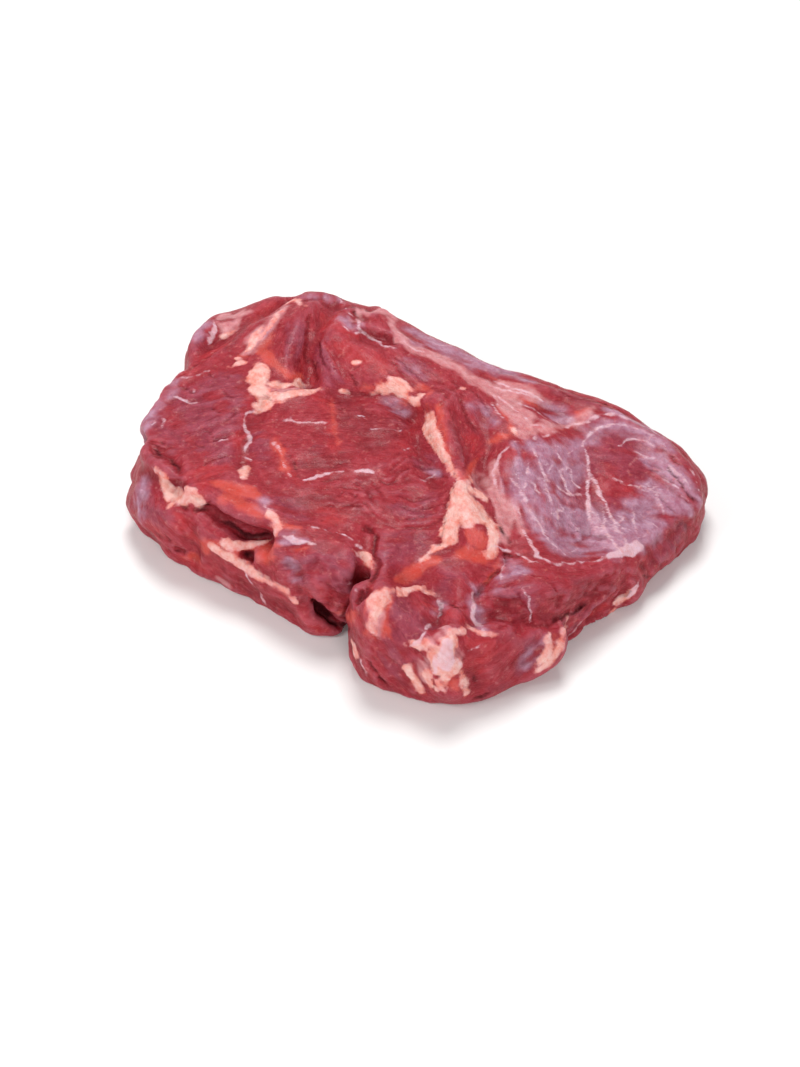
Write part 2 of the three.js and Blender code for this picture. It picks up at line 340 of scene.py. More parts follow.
STEPS = {
    "groove of the red strip": [
        (232, 340, 1), (218, 350, 1), (200, 361, 1), (183, 375, 1), (170, 390, 1),
    ],
    "back edge of the middle muscle": [
        (345, 394, 1.5), (360, 394, 2), (380, 396, 1), (400, 398, 1), (410, 404, 1),
    ],
    "right edge of the middle muscle": [
        (426, 430, 1), (432, 442, 1), (440, 455, 1), (450, 466, 1.5), (457, 476, 2),
    ],
    "edge of the fat mass": [
        (457, 482, 1.5), (448, 495, 1.5), (446, 512, 1.5), (445, 530, 1.5), (441, 545, 1),
    ],
    "lower edge of the middle muscle": [
        (383, 524, 1), (400, 529, 1), (420, 528, 1), (438, 521, 1), (447, 510, 1),
    ],
    "lobe in the lobe": [(443, 601, 1), (455, 606, 1), (466, 607, 1)],
    "under the flap": [(440, 403, 1), (452, 388, 1), (462, 403, 2), (466, 416, 2), (473, 428, 2)],
    "lip over the left lobe": [(141, 437, 2), (150, 440, 2), (160, 441, 2), (172, 447, 2)],
    "left foot": [(164, 527, 1), (168, 540, 1), (172, 552, 1)],
    "dark fold in front": [(500, 628, 2), (515, 622, 1), (535, 628, 1), (552, 624, 1)],
    "crease left of the hump": [(317, 340, 1), (320, 355, 1), (328, 372, 1)],
    "line of the front roll": [(440, 603, 1), (442, 613, 1), (437, 622, 2), (430, 630, 1)],
}
RIDGES = {
    "diagonal ridge": [(215, 550, 3), (236, 563, 4), (256, 576, 4), (280, 588, 3)],
    "fold beside the crease": [(322, 342, 3), (326, 358, 3), (335, 375, 2)],
    "arm of fat": [(285, 308, 3), (268, 325, 4), (255, 342, 5)],
    "big fat mass": [(458, 488, 4), (465, 502, 8), (474, 525, 10), (470, 545, 6)],
    "roll of the front lobe": [(395, 610, 7), (410, 630, 9), (440, 655, 8)],
    "tip of the flap": [(445, 415, 6), (452, 440, 7), (461, 462, 5)],
    "left foot flap": [(186, 556, 4), (192, 566, 4)],
    "lump on the lip": [(263, 556, 6)],
    "small tongue": [(322, 584, 6), (326, 596, 6)],
    "left lip": [(150, 418, 6), (148, 430, 4)],
    "cap of fat": [(445, 645, 8), (440, 658, 12), (447, 668, 12)],
    "notch strip": [(385, 591, 4), (374, 600, 6), (372, 622, 5)],
    "left flap": [(352, 648, 4), (358, 664, 4), (370, 682, 5)],
    "inner flap": [(550, 640, 4), (547, 655, 4)],
    "second lobe": [(175, 522, 7), (187, 529, 9), (197, 538, 6)],
}
PULLED_IN = {
    "right end": [
        (712, 476, -2), (713, 500, -1), (710, 520, 0), (702, 540, 2), (690, 554, 3),
        (678, 568, 5), (664, 580, 6), (650, 592, 3), (640, 600, 0),
    ],
    "right side": [
        (625, 608, 0), (610, 616, 0), (592, 624, 4), (574, 640, 8), (564, 656, 6),
        (556, 668, 1),
    ],
    "left lobe": [(141, 444, 0), (133, 458, 2), (128, 474, 1), (126, 488, -2)],
}
PUSHED_OUT = {
    "left lip": [(142, 430, 2), (146, 412, 3), (155, 400, 3), (165, 388, 3), (176, 376, 2)],
    "left foot": [(128, 505, 1), (132, 520, 4), (140, 533, 4), (150, 541, 1)],
    "foot of the front muscle": [
        (260, 604, 2), (280, 618, 4), (300, 632, 5), (316, 638, 5), (334, 634, 5),
    ],
    "notch": [(340, 618, 6), (344, 626, 8), (345, 634, 6)],
    "bank of the notch": [
        (348, 640, 3), (352, 655, 3), (360, 672, 4), (369, 687, 6), (385, 692, 2), (430, 704, 1),
    ],
    "left slope": [(146, 412, 3), (158, 398, 5), (165, 389, 6), (174, 380, 4), (182, 370, 2)],
    "under the second lobe": [(196, 573, 1), (212, 580, 4), (228, 588, 4), (240, 596, 2)],
    "second lobe": [(164, 545, 0), (175, 556, 2)],
}
SHAVED = {
    "skyline": [
        (505, 365, 2), (530, 372, 4), (565, 383, 3), (585, 390, 3), (605, 397, 5),
        (635, 412, 4), (660, 425, 3), (677, 435, 4), (697, 456, 6), (707, 472, 4),
    ],
    "crown": [(248, 302, -1), (265, 296, -1), (280, 294, -1)],
    "top of the crown": [(303, 289, 0), (320, 287, 2), (338, 291, 0)],
}
PADDED = {
    "crown": [(348, 300, 0), (362, 303, 2), (380, 310, 2), (393, 317, 0)],
    "back piece": [(190, 344, 4), (196, 331, 8), (205, 320, 6), (215, 314, 3)],
    "left slope": [(150, 404, 2), (158, 395, 3), (166, 386, 2)],
}
CLOSED = {
    "notch": [(336, 614, 8), (342, 622, 10), (344, 630, 8)],
}
# Each row has the marks, the softness of their edge and how far they move the wall or the surface out.
OUTLINE = (
    (CLOSED, 8.0, 4.0),
    (PULLED_IN, 10.0, -6.0),
    (PUSHED_OUT, 10.0, 3.5),
)
CARVINGS = (
    (SHAVED, 10.0, -2.8),
    (PADDED, 8.0, 3.2),
    (PITS, 2.6, -5.0),
    (HOLLOWS, 5.0, -2.0),
    (CREVICES, 2.6, -3.0),
    (STEPS, 2.2, -1.3),
    (RIDGES, 5.0, 1.0),
)


def foot_fade(spots):
    """0 on the flat underside, rising to 1 a few millimetres above it."""
    return eased(np.clip(spots[:, 2] / FOOT_FADE_MM, 0, 1))


def carve(skin, spots, carvings):
    """The depth that a list of marks, soft edges and depths gives every vertex."""
    relief = np.zeros(len(spots))
    for marks, soft, depth in carvings:
        relief = relief + depth * eased(mask(skin, spots, marks, soft))
    return relief


def nudge(skin, spots, outline):
    """Moves the walls near some marks in or out, at every height alike."""
    shift = np.zeros(len(spots))
    for marks, soft, far in outline:
        reach = np.zeros(len(spots))
        for points in marks.values():
            route, halves = cast(skin, points)
            reach = np.maximum(reach, inside(spots * LEVEL, route * LEVEL, halves, soft))
        shift += far * eased(reach)
    skin.move(shift, LEVEL)
    return shift


shift = nudge(form, form_spots, OUTLINE)
print("walls nudged from", shift.min().round(1), "to", shift.max().round(1), "mm")
form_relief = carve(form, form_spots, CARVINGS) * foot_fade(form.spots)
form.move(form_relief)
print("carved from", form_relief.min().round(1), "to", form_relief.max().round(1), "mm")

# %% [markdown]
# ## The final mesh
# Carving has stretched the squares inside the crevices, so the form is remeshed once more, finer. The
# underside is flat and plain, and its thousands of small squares would only cost room. They are swapped
# for large triangles, which share the rim with the skin round them, so the piece stays closed.

# %% Remesh the carved form and lay the underside
FLAT_MM = 0.4
DOWNWARD = -0.9
UNDERSIDE_STEP_MM = 5.0
RIM_GAP_MM = 3.0
WITH_HOLES = 2
SAME_SPOT = 1e-7


def flat_patch(skin):
    """The faces of the underside that touch each other round its middle."""
    flat = {
        face
        for face in skin.faces
        if face.normal.z < DOWNWARD and max(corner.co.z for corner in face.verts) < FLAT_MM * MM
    }
    start = min(flat, key=lambda face: face.calc_center_median().xy.length)
    patch = {start}
    edge_of_patch = [start]
    while edge_of_patch:
        for edge in edge_of_patch.pop().edges:
            for face in edge.link_faces:
                if face in flat and face not in patch:
                    patch.add(face)
                    edge_of_patch.append(face)
    return patch


def grid_inside(rim):
    """Points in rows that fill the underside and stay clear of its rim."""
    outline = np.array([corner.co.xy for corner in rim]) / MM
    low = outline.min(axis=0)
    high = outline.max(axis=0)
    points = []
    for x in np.arange(low[0], high[0], UNDERSIDE_STEP_MM):
        for y in np.arange(low[1], high[1], UNDERSIDE_STEP_MM):
            if np.linalg.norm(outline - (x, y), axis=1).min() > RIM_GAP_MM:
                points.append(Vector((x, y)) * MM)
    return points


def rim_of(patch):
    """The edges and corners between a patch and the rest, in the mesh's own order."""
    sides = {edge for face in patch for edge in face.edges}
    edges = [edge for edge in sides if len(patch.intersection(edge.link_faces)) == 1]
    corners = {corner for edge in edges for corner in edge.verts}
    return sorted(edges, key=lambda edge: edge.index), sorted(corners, key=lambda corner: corner.index)


def lay_underside(mesh):
    """Swaps the small squares of the flat underside for large triangles."""
    skin = bmesh.new()
    skin.from_mesh(mesh)
    patch = flat_patch(skin)
    rim_edges, rim = rim_of(patch)
    place = {corner: number for number, corner in enumerate(rim)}
    for corner in rim:
        corner.co.z = 0.0
    bmesh.ops.delete(skin, geom=list(patch), context="FACES")
    points = [corner.co.xy for corner in rim] + grid_inside(rim)
    edges = [(place[edge.verts[0]], place[edge.verts[1]]) for edge in rim_edges]
    laid = geometry.delaunay_2d_cdt(points, edges, [], WITH_HOLES, SAME_SPOT)
    new_spots, _, new_faces, came_from = laid[:4]
    corners = {}
    for number, (spot, before) in enumerate(zip(new_spots, came_from)):
        old = [index for index in before if index < len(rim)]
        corners[number] = rim[old[0]] if old else skin.verts.new((spot.x, spot.y, 0.0))
    for face in new_faces:
        skin.faces.new([corners[number] for number in reversed(face)])
    loose = [corner for corner in skin.verts if not corner.link_faces]
    bmesh.ops.delete(skin, geom=loose, context="VERTS")
    open_edges = sum(len(edge.link_faces) != 2 for edge in skin.edges)
    skin.to_mesh(mesh)
    skin.free()
    return open_edges


remesh(meat, SKIN_CELL_MM)
print("open edges:", lay_underside(meat.data))
skin = Skin(meat.data)
spots = warped(skin.spots)
print("the skin has", sum(len(face.vertices) - 2 for face in meat.data.polygons), "triangles")

# %% [markdown]
# ## Fibres
# Lean is made of bundles of fibres, and each muscle's fibres run their own way. A stretched noise texture
# runs one way only. Here a few combing lines say how the fibres lie, every vertex takes a direction from
# the lines near it, and then random values are blurred again and again along that direction. What is left
# are streaks that bend with the muscle, used both as relief and as colour.

# %% Comb the fibres
GRAIN = {
    "left muscle": [(172, 392), (205, 376), (245, 364)],
    "left muscle middle": [(152, 428), (185, 412), (240, 398)],
    "left muscle low": [(180, 462), (210, 446), (240, 428)],
    "middle left": [(255, 428), (290, 423), (330, 423)],
    "middle left low": [(252, 462), (290, 466), (330, 462)],
    "middle": [(338, 412), (370, 414), (412, 424)],
    "middle low": [(338, 440), (370, 442), (405, 446)],
    "wrinkled": [(300, 482), (345, 473), (375, 477)],
    "wrinkled right": [(388, 474), (410, 460), (442, 474)],
    "wrinkled low": [(385, 508), (415, 512), (445, 506)],
    "below": [(270, 495), (310, 502), (350, 506), (378, 516)],
    "front muscle": [(285, 556), (320, 546), (356, 560)],
    "front muscle low": [(290, 590), (325, 572), (352, 588)],
    "red strip": [(168, 390), (198, 364), (232, 342), (254, 316)],
    "hump's left face": [(240, 345), (262, 322), (286, 302)],
    "hump": [(296, 318), (288, 345), (284, 374)],
    "right hump": [(312, 305), (316, 335), (330, 372)],
    "right hump's slope": [(335, 305), (352, 335), (385, 362)],
    "behind": [(396, 356), (420, 374), (450, 390)],
    "flap": [(440, 400), (447, 430), (460, 468)],
    "flap right": [(466, 396), (482, 420), (508, 436)],
    "flap tip": [(488, 442), (476, 456), (466, 472)],
    "slope": [(482, 382), (520, 400), (560, 412)],
    "back band": [(400, 334), (450, 360), (510, 382)],
    "lobe top": [(590, 428), (630, 440), (668, 462)],
    "lobe": [(600, 455), (640, 466), (692, 502)],
    "lobe low": [(606, 494), (645, 512), (680, 522)],
    "silverskin left": [(512, 450), (526, 490), (542, 530)],
    "silverskin": [(552, 455), (572, 500), (590, 550)],
    "silverskin low": [(540, 548), (580, 548), (620, 545)],
    "edge right": [(688, 508), (696, 524)],
    "edge": [(662, 540), (670, 554)],
    "edge left": [(636, 558), (645, 576)],
    "side": [(566, 606), (600, 592), (634, 578)],
    "side low": [(562, 634), (585, 620), (606, 608)],
    "front lobe": [(396, 600), (404, 622), (420, 640)],
    "front low": [(380, 645), (398, 668), (414, 692)],
    "lobe over it": [(436, 572), (452, 584), (466, 600)],
    "right front": [(484, 604), (520, 606), (552, 602)],
    "right front top": [(500, 580), (530, 578), (560, 590)],
    "recess": [(512, 664), (530, 652), (548, 638)],
    "left lobe": [(140, 480), (138, 512)],
    "second lobe": [(172, 520), (186, 530), (200, 542)],
    "under the ridge": [(222, 572), (255, 596), (288, 614)],
    "mouth": [(214, 516), (240, 528), (266, 540)],
    "fat mass": [(462, 488), (470, 520), (470, 548)],
    "band": [(398, 586), (430, 564), (462, 554)],
}
SEED = 11
COMB_NEAR_MM = 7.0
COMB_PULL = 4
COMB_POWER = 6
EVEN_PULL = 0.5
# Rounds of even mixing at first, of combing, and of the even mixing that finds the wide swings.
FINE_ROUNDS = (0, 14, 3)
COARSE_ROUNDS = (2, 30, 12)
STREAK_LIMIT = 2.0
TINY = 1e-9
INNER_TEAR = 0.3
COARSE_TEAR = 0.6
FINE_TEAR = 0.5


def comb_lines():
    """The middles and directions of the combing lines' steps, on the meat."""
    middles = []
    ways = []
    for points in GRAIN.values():
        route = [skin.shown_at(across, down) for across, down in points]
        for start, end in zip(route, route[1:]):
            middles.append((start + end) / 2)
            ways.append((end - start) / np.linalg.norm(end - start))
    return np.array(middles), np.array(ways)


def fibre_ways():
    """The way the fibres run at every vertex, along the surface."""
    middles, ways = comb_lines()
    spread = np.zeros((len(skin.spots), 3, 3))
    spread[:, 0, 0] = TINY
    for middle, way in zip(middles, ways):
        off = ((skin.spots - middle) ** 2).sum(axis=1)
        weight = 1 / (off + COMB_NEAR_MM**2) ** 2
        spread += weight[:, None, None] * np.outer(way, way)
    along = np.linalg.eigh(spread)[1][:, :, -1]
    along = along - skin.facing * (along * skin.facing).sum(axis=1)[:, None]
    return along / np.maximum(np.linalg.norm(along, axis=1), TINY)[:, None]


def neighbour_pairs(mesh):
    """Every pair of vertices that share an edge or lie across one square."""
    pairs = [edge.vertices[:] for edge in mesh.edges]
    squares = [face.vertices[:] for face in mesh.polygons if len(face.vertices) == 4]
    pairs += [(square[0], square[2]) for square in squares]
    pairs += [(square[1], square[3]) for square in squares]
    return np.array(pairs)


def blur(values, pairs, weights, rounds):
    """Mixes every vertex with its neighbours, again and again."""
    first, second = pairs[:, 0], pairs[:, 1]
    count = len(values)
    total = 1 + np.bincount(first, weights, count) + np.bincount(second, weights, count)
    for _ in range(rounds):
        taken = np.bincount(first, weights * values[second], count)
        taken += np.bincount(second, weights * values[first], count)
        values = (values + taken) / total
    return values


def levelled(values):
    """The same values with a mean of 0 and a spread of 1, clipped at twice that."""
    return np.clip((values - values.mean()) / values.std(), -STREAK_LIMIT, STREAK_LIMIT)


def comb_weights(pairs, ways):
    """How strongly each pair mixes: much along the fibres and hardly across them."""
    steps = skin.spots[pairs[:, 1]] - skin.spots[pairs[:, 0]]
    steps = steps / np.linalg.norm(steps, axis=1)[:, None]
    from_way, to_way = ways[pairs[:, 0]], ways[pairs[:, 1]]
    same = np.sign((from_way * to_way).sum(axis=1))[:, None]
    along = np.abs((steps * (from_way + same * to_way)).sum(axis=1) / 2)
    return COMB_PULL * along**COMB_POWER


def streaks(first_rounds, comb_rounds, wide_rounds):
    """Random values combed along the fibres, without their wide swings."""
    values = blur(random.normal(size=len(skin.spots)), pairs, even, first_rounds)
    values = blur(values, pairs, comb, comb_rounds)
    return levelled(values - blur(values, pairs, even, wide_rounds))


def feathered(reach, amount):
    """A reach whose soft edge is torn into streaks along the fibres."""
    torn = 4 * reach * (1 - reach) + INNER_TEAR * reach
    return np.clip(reach + amount * torn * (COARSE_TEAR * coarse + FINE_TEAR * fine), 0, 1)


random = np.random.default_rng(SEED)
pairs = neighbour_pairs(skin.mesh)
ways = fibre_ways()
comb = comb_weights(pairs, ways)
even = np.full(len(pairs), EVEN_PULL)
fine = streaks(*FINE_ROUNDS)
coarse = streaks(*COARSE_ROUNDS)
print("fibres combed over", len(pairs), "pairs")

# %% [markdown]
# ## Fat
# Seams of fat run between the muscles. Fat is firmer than lean and stands a little proud of it, and the
# cut shows it cream where it is clean. It could be a separate shell, but real seams grow out of the
# meat, so they are marks that both colour the skin and lift it.

# %% Cream fat
FAT_SOFT_MM = 3.4
FAT_TEAR = 0.3

FAT = {
    "cuff over the crease": [(288, 303, 2.7), (293, 300, 3.2), (298, 301, 3.2), (303, 306, 2.7)],
    "upper arm": [
        (286, 308, 0.8), (279, 313, 1.2), (271, 321, 1.7), (264, 329, 2.3), (257, 337, 3.2),
        (250, 346, 2.6), (245, 350, 1),
    ],
    "foot of the arm": [(233, 360, 2.7), (238, 362, 3.7), (244, 363, 2.7)],
    "second lump": [
        (257, 363, 5.7), (259, 371, 6.7), (256, 379, 7.7), (259, 388, 7.7), (267, 394, 6.7),
    ],
    "upper band": [(270, 384, 4.7), (280, 385, 4.7), (292, 384, 4.7), (306, 384, 4.2)],
    "lower band": [
        (268, 396, 5.7), (278, 398, 5.7), (290, 395, 5.7), (305, 391, 5.7), (319, 389, 4.2),
    ],
    "crumbs": [(341, 391, 3.2), (347, 392, 3.2)],
    "third lump": [(262, 398, 6.7), (266, 404, 6.7), (259, 409, 5.7), (252, 412, 3.7)],
    "end of the left seam": [(245, 465, 2.7), (243, 472, 4.7), (242, 478, 5.7)],
    "triangle": [
        (374, 393, 2.7), (382, 389, 4.7), (390, 385, 6.7), (396, 383, 8.7), (403, 388, 7.7),
        (407, 393, 6.7),
    ],
    "tip of the triangle": [(411, 396, 5.2), (417, 400, 4.7), (422, 396, 3.7)],
    "right of the middle": [
        (427, 412, 4), (429, 423, 6.5), (432, 434, 6.5), (437, 445, 5), (443, 455, 3),
        (450, 466, 2),
    ],
    "thin tail": [(441, 455, 2.0), (448, 463, 2.0), (453, 472, 2.0), (458, 476, 2.0)],
    "ridge": [(470, 477, 2.2), (467, 484, 3.2), (473, 491, 4.7), (481, 497, 4.7), (487, 503, 2.7)],
    "neck of the mass": [
        (462, 481, 6.7), (459, 492, 9.7), (464, 502, 14.7), (470, 511, 19.7),
        (473, 518, 20.7),
    ],
    "left of the mass": [(453, 515, 8.7), (451, 530, 8.7), (450, 542, 6.7)],
    "right border": [(492, 518, 7.7), (492, 532, 5.7), (491, 545, 5.7), (488, 556, 5.7)],
    "foot of the mass": [(447, 545, 3.2), (436, 549, 3.7), (428, 554, 3.2), (421, 560, 2.7)],
    "front-left": [
        (157, 470, 2.2), (163, 475, 2.7), (166, 485, 3.7), (172, 494, 5.7), (183, 498, 7.2),
        (194, 499, 6.7), (204, 502, 3.7),
    ],
    "front-left tail": [(174, 502, 2.7), (168, 507, 2.0)],
    "lip of the mouth": [
        (222, 541, 2.2), (232, 544, 3.2), (240, 545, 3.2), (252, 544, 2.7), (262, 542, 2.2),
        (272, 538, 2.2),
    ],
    "diagonal ridge": [
        (208, 546, 1.7), (218, 551, 3.7), (228, 556, 5.2), (238, 562, 5.2), (248, 570, 3.7),
        (258, 576, 2.2), (268, 581, 1.7), (279, 587, 1.5), (290, 593, 1.5), (296, 601, 1.2),
    ],
    "upright": [
        (266, 508, 1.7), (271, 514, 3.2), (275, 521, 4.7), (277, 528, 3.7), (277, 535, 2.7),
    ],
    "notch strip": [
        (392, 588, 1.7), (384, 590, 3.7), (377, 596, 6.2), (374, 603, 4.7), (377, 610, 3.7),
        (372, 618, 4.7), (370, 627, 4.2), (372, 634, 2.7),
    ],
    "notch branch": [(380, 606, 2.7), (385, 601, 3.7), (388, 598, 2.7)],
    "brow of the front lobe": [
        (398, 592, 3.2), (405, 590, 3.7), (415, 588, 2.2), (425, 590, 2.2), (433, 594, 1.5),
    ],
    "beside the crack": [(356, 549, 1.7), (362, 555, 2.7), (368, 562, 3.2), (371, 569, 2.2)],
    "left flap": [(352, 643, 3.7), (355, 650, 4.7), (354, 656, 2.7)],
    "cap": [
        (452, 634, 4.7), (449, 643, 7.7), (443, 652, 9.7), (439, 660, 11.7),
        (441, 668, 12.7), (452, 668, 10.7), (459, 663, 5.7),
    ],
    "cap finger left": [(430, 668, 5.7), (429, 678, 4.7), (431, 688, 2.7)],
    "cap finger middle": [(442, 674, 3.7), (441, 684, 3.2), (440, 696, 2.7)],
    "cap finger right": [(460, 672, 4.7), (465, 682, 4.2), (466, 693, 2.7)],
    "cap lumps": [(409, 664, 3.7), (411, 674, 4.7), (415, 684, 4.2), (421, 692, 2.2)],
    "cap arm": [(430, 648, 4.7), (420, 646, 2.7), (408, 646, 1.7)],
    "edge over the cap": [
        (452, 632, 2.2), (462, 630, 2.2), (470, 628, 2.2), (482, 632, 1.7), (492, 634, 1.7),
    ],
    "inner flap": [(551, 635, 2.7), (549, 645, 4.2), (545, 655, 4.2), (538, 664, 2.7)],
    "outer flap": [
        (567, 618, 1.7), (565, 627, 2.2), (562, 637, 2.2), (560, 647, 2.2), (555, 655, 2.2),
        (546, 665, 1.7), (536, 672, 1.5),
    ],
    "right foot": [
        (612, 612, 1.7), (617, 605, 2.2), (621, 600, 2.7), (627, 594, 2.7), (632, 592, 1.7),
    ],
    "specks": [(354, 363, 2.7), (357, 361, 2.7)],
    "speck on the flap": [(461, 387, 2.2), (463, 387, 2.2)],
    "knot": [(513, 430, 3.2), (515, 435, 3.2)],
    "corner of the back piece": [(222, 337, 2.2), (229, 335, 2.2), (233, 331, 1.7)],
}
coat = {"fat": feathered(mask(skin, spots, FAT, FAT_SOFT_MM, TAPER), FAT_TEAR)}
print("fat on", int((coat["fat"] > 0.5).sum()), "vertices")

# %% [markdown]
# ## Pale fat and fat-soaked lean
# Thinner layers of fat let the red through and look pink. Where fat has soaked into lean, along the seams,
# it turns a bright orange-red. Both are broad and have no edge of their own, so their marks are wide and
# fade over several millimetres.

# %% Pink and orange-red
PINK_SOFT_MM = 5.0
PINK_TEAR = 0.3
BLUSH_SOFT_MM = 4.0
BLUSH_TEAR = 0.15

PINK = {
    "back piece": [(220, 317, 6), (233, 316, 8), (244, 313, 6)],
    "back piece below": [(221, 327, 6), (231, 327, 7), (238, 322, 5)],
    "back band": [
        (396, 330, 5), (403, 340, 6), (415, 349, 7), (430, 355, 7), (445, 360, 8),
        (458, 367, 7), (470, 376, 6), (482, 385, 6), (492, 394, 6),
    ],
    "slope": [(486, 384, 8), (500, 394, 12), (514, 408, 14), (526, 422, 12)],
    "slope above": [(500, 384, 7), (528, 391, 9), (545, 401, 7)],
    "slope below": [(520, 434, 7), (540, 428, 8), (560, 425, 6), (578, 423, 5), (590, 412, 4)],
    "back corner": [(360, 311, 4), (372, 312, 5), (385, 311, 5), (392, 318, 5), (393, 326, 4)],
    "rim of the hollow": [(352, 320, 4), (360, 319, 4)],
    "beside the mass": [
        (494, 466, 7), (491, 480, 7), (498, 497, 9), (508, 508, 10), (507, 524, 8),
        (502, 538, 6),
    ],
    "right of it": [(513, 502, 5), (520, 516, 5), (521, 533, 4)],
    "left of it": [(479, 474, 4), (476, 486, 4), (486, 497, 4)],
    "above the cap": [(446, 628, 4), (430, 645, 4)],
    "cap surround": [(425, 665, 7), (423, 680, 6), (450, 650, 6), (458, 660, 5)],
    "front bank": [(372, 640, 3), (380, 615, 4)],
    "below the ridge": [(222, 580, 4), (229, 584, 4)],
    "arm of fat": [
        (288, 306, 4), (278, 314, 6), (266, 327, 7), (256, 339, 8), (247, 350, 6), (242, 352, 4),
    ],
    "between the bands": [(270, 391, 5), (290, 390, 5), (306, 387, 4)],
    "haze": [(590, 508, 3), (597, 525, 6), (603, 542, 5)],
    "haze left": [(532, 510, 4), (540, 526, 5)],
    "haze low": [(612, 550, 3), (628, 549, 4), (640, 545, 3)],
    "diagonal ridge": [(212, 548, 3), (240, 563, 5), (262, 578, 2), (292, 595, 2)],
    "notch strip": [(390, 590, 4), (378, 598, 6), (374, 612, 6), (372, 630, 4)],
}
BLUSH = {
    "foot of the arm": [(236, 356, 3), (247, 357, 3)],
    "inside the L": [
        (273, 330, 3), (268, 340, 5), (262, 350, 6), (268, 358, 7), (281, 371, 5),
        (292, 377, 5), (305, 376, 4),
    ],
    "between the bands": [(270, 390, 2), (285, 391, 1.5), (304, 388, 1)],
    "front left": [(213, 483, 4), (224, 485, 6), (240, 489, 8), (252, 491, 7), (258, 498, 5)],
    "front left below": [(218, 497, 6), (236, 501, 7), (250, 507, 7), (262, 518, 6)],
    "by the upright": [(263, 506, 4), (270, 511, 5), (278, 524, 5), (288, 526, 4), (298, 528, 2)],
    "lip of the mouth": [
        (205, 538, 4), (203, 547, 6), (217, 546, 6), (235, 550, 5), (262, 547, 5),
        (280, 545, 4),
    ],
    "lump on the lip": [(256, 553, 7), (266, 556, 9), (275, 552, 6)],
    "right of the mouth": [(284, 547, 3), (300, 548, 3), (309, 547, 2)],
    "beside the triangle": [(398, 396, 4), (403, 401, 4), (376, 388, 2), (384, 379, 3)],
    "tip of the triangle": [(411, 388, 3), (424, 388, 4), (433, 390, 3), (428, 397, 3)],
    "above the right seam": [(428, 405, 4), (428, 413, 3), (424, 420, 1)],
    "edge of the flap": [
        (438, 398, 4), (440, 413, 4), (441, 430, 3.5), (444, 445, 4), (450, 458, 4),
    ],
    "tip of the flap": [(457, 468, 4), (463, 478, 4), (469, 472, 4), (477, 460, 4)],
    "core of the mass": [(468, 530, 7), (476, 536, 10), (484, 543, 6)],
    "under the mass": [(452, 550, 5), (466, 552, 7), (480, 556, 7), (490, 562, 4)],
    "band to the notch": [
        (440, 554, 4), (432, 562, 7), (420, 568, 7), (409, 576, 6), (398, 584, 5),
    ],
    "left of the front lobe": [
        (388, 590, 4), (389, 602, 4), (385, 614, 4), (384, 628, 4), (390, 638, 3),
    ],
    "notch": [(380, 588, 3), (366, 612, 4), (370, 622, 3), (366, 634, 3), (376, 640, 4)],
    "left of the notch": [(334, 612, 4), (348, 617, 4), (360, 612, 4)],
    "beside the crack": [(362, 556, 3), (368, 566, 3), (373, 572, 2)],
    "back slope": [(484, 376, 1.5), (495, 379, 2), (512, 384, 1.5), (522, 383, 1.5)],
    "slope streak": [
        (490, 397, 1.5), (505, 396, 2), (520, 399, 2), (533, 404, 2.5), (543, 410, 1.5),
    ],
    "slope corner": [(498, 408, 2), (506, 417, 3), (511, 424, 2.5)],
    "ridge of the slope": [
        (522, 431, 1), (540, 428, 1.8), (556, 429, 2.5), (568, 428, 2), (578, 424, 2),
    ],
    "under the back muscle": [(576, 420, 3), (580, 413, 3), (589, 410, 2)],
    "by the knot": [(511, 425, 3), (511, 436, 3), (500, 438, 5), (488, 442, 5)],
    "back of the right lobe": [(640, 438, 3), (646, 443, 3)],
    "front rim": [(497, 560, 3), (494, 572, 3), (486, 580, 2)],
    "below the cap": [(450, 682, 5), (457, 690, 5)],
    "cap left": [(414, 664, 4), (411, 682, 3), (425, 694, 2)],
    "inner flap": [(547, 643, 1.5), (541, 656, 2)],
    "patch in the silverskin": [(563, 497, 2), (575, 501, 2), (580, 506, 3)],
    "muscle in the triangle": [(362, 386, 2), (372, 389, 2)],
    "flap between": [(556, 636, 3), (553, 648, 3), (547, 660, 2)],
    "foot": [(184, 560, 3), (194, 555, 4), (200, 562, 4)],
    "branch of marbling": [(270, 436, 1.5), (278, 448, 3), (284, 462, 4), (290, 475, 3)],
    "band in the muscle": [(331, 398, 1.5), (333, 412, 2), (335, 428, 2), (338, 445, 1.5)],
}
coat["pink"] = feathered(mask(skin, spots, PINK, PINK_SOFT_MM), PINK_TEAR)
coat["blush"] = feathered(mask(skin, spots, BLUSH, BLUSH_SOFT_MM, TAPER), BLUSH_TEAR)
print("orange-red on", int((coat["blush"] > 0.5).sum()), "vertices")

# %% [markdown]
# ## Silverskin and its strands, with painted sheen and glints
# A muscle is wrapped in silverskin, a thin tough film that looks lavender in a pale room, with white
# strands where it was pulled or folded. The film is wide and see-through, and the strands are thin and
# bright, so they are two masks. A few film marks are painted glare and sheen on wet lean, and a few strand
# marks are painted glints. The finest threads are too many to place by hand: each starts on a random
# spot of the film, sets out along the fibres and turns a little at every step.

# %% Silverskin and strands, with painted sheen and glints
FILM_AND_SHEEN_SOFT_MM = 8.0
FILM_AND_SHEEN_TEAR = 0.2
GAP_SOFT_MM = 4.0
STRAND_AND_GLINT_SOFT_MM = 2.2
STRAND_AND_GLINT_EDGE = 0.7
WANDER_STEP_MM = 4.0
TURN = 0.35
BLUNT = 1.15
UNEVEN = (0.6, 1.3)
FILMED = 0.7
THREADS = 120
THREAD_STEPS = 8
THREAD_HALF_MM = 0.32
THREAD_SOFT_MM = 1.6
THREAD_EDGE = 0.55

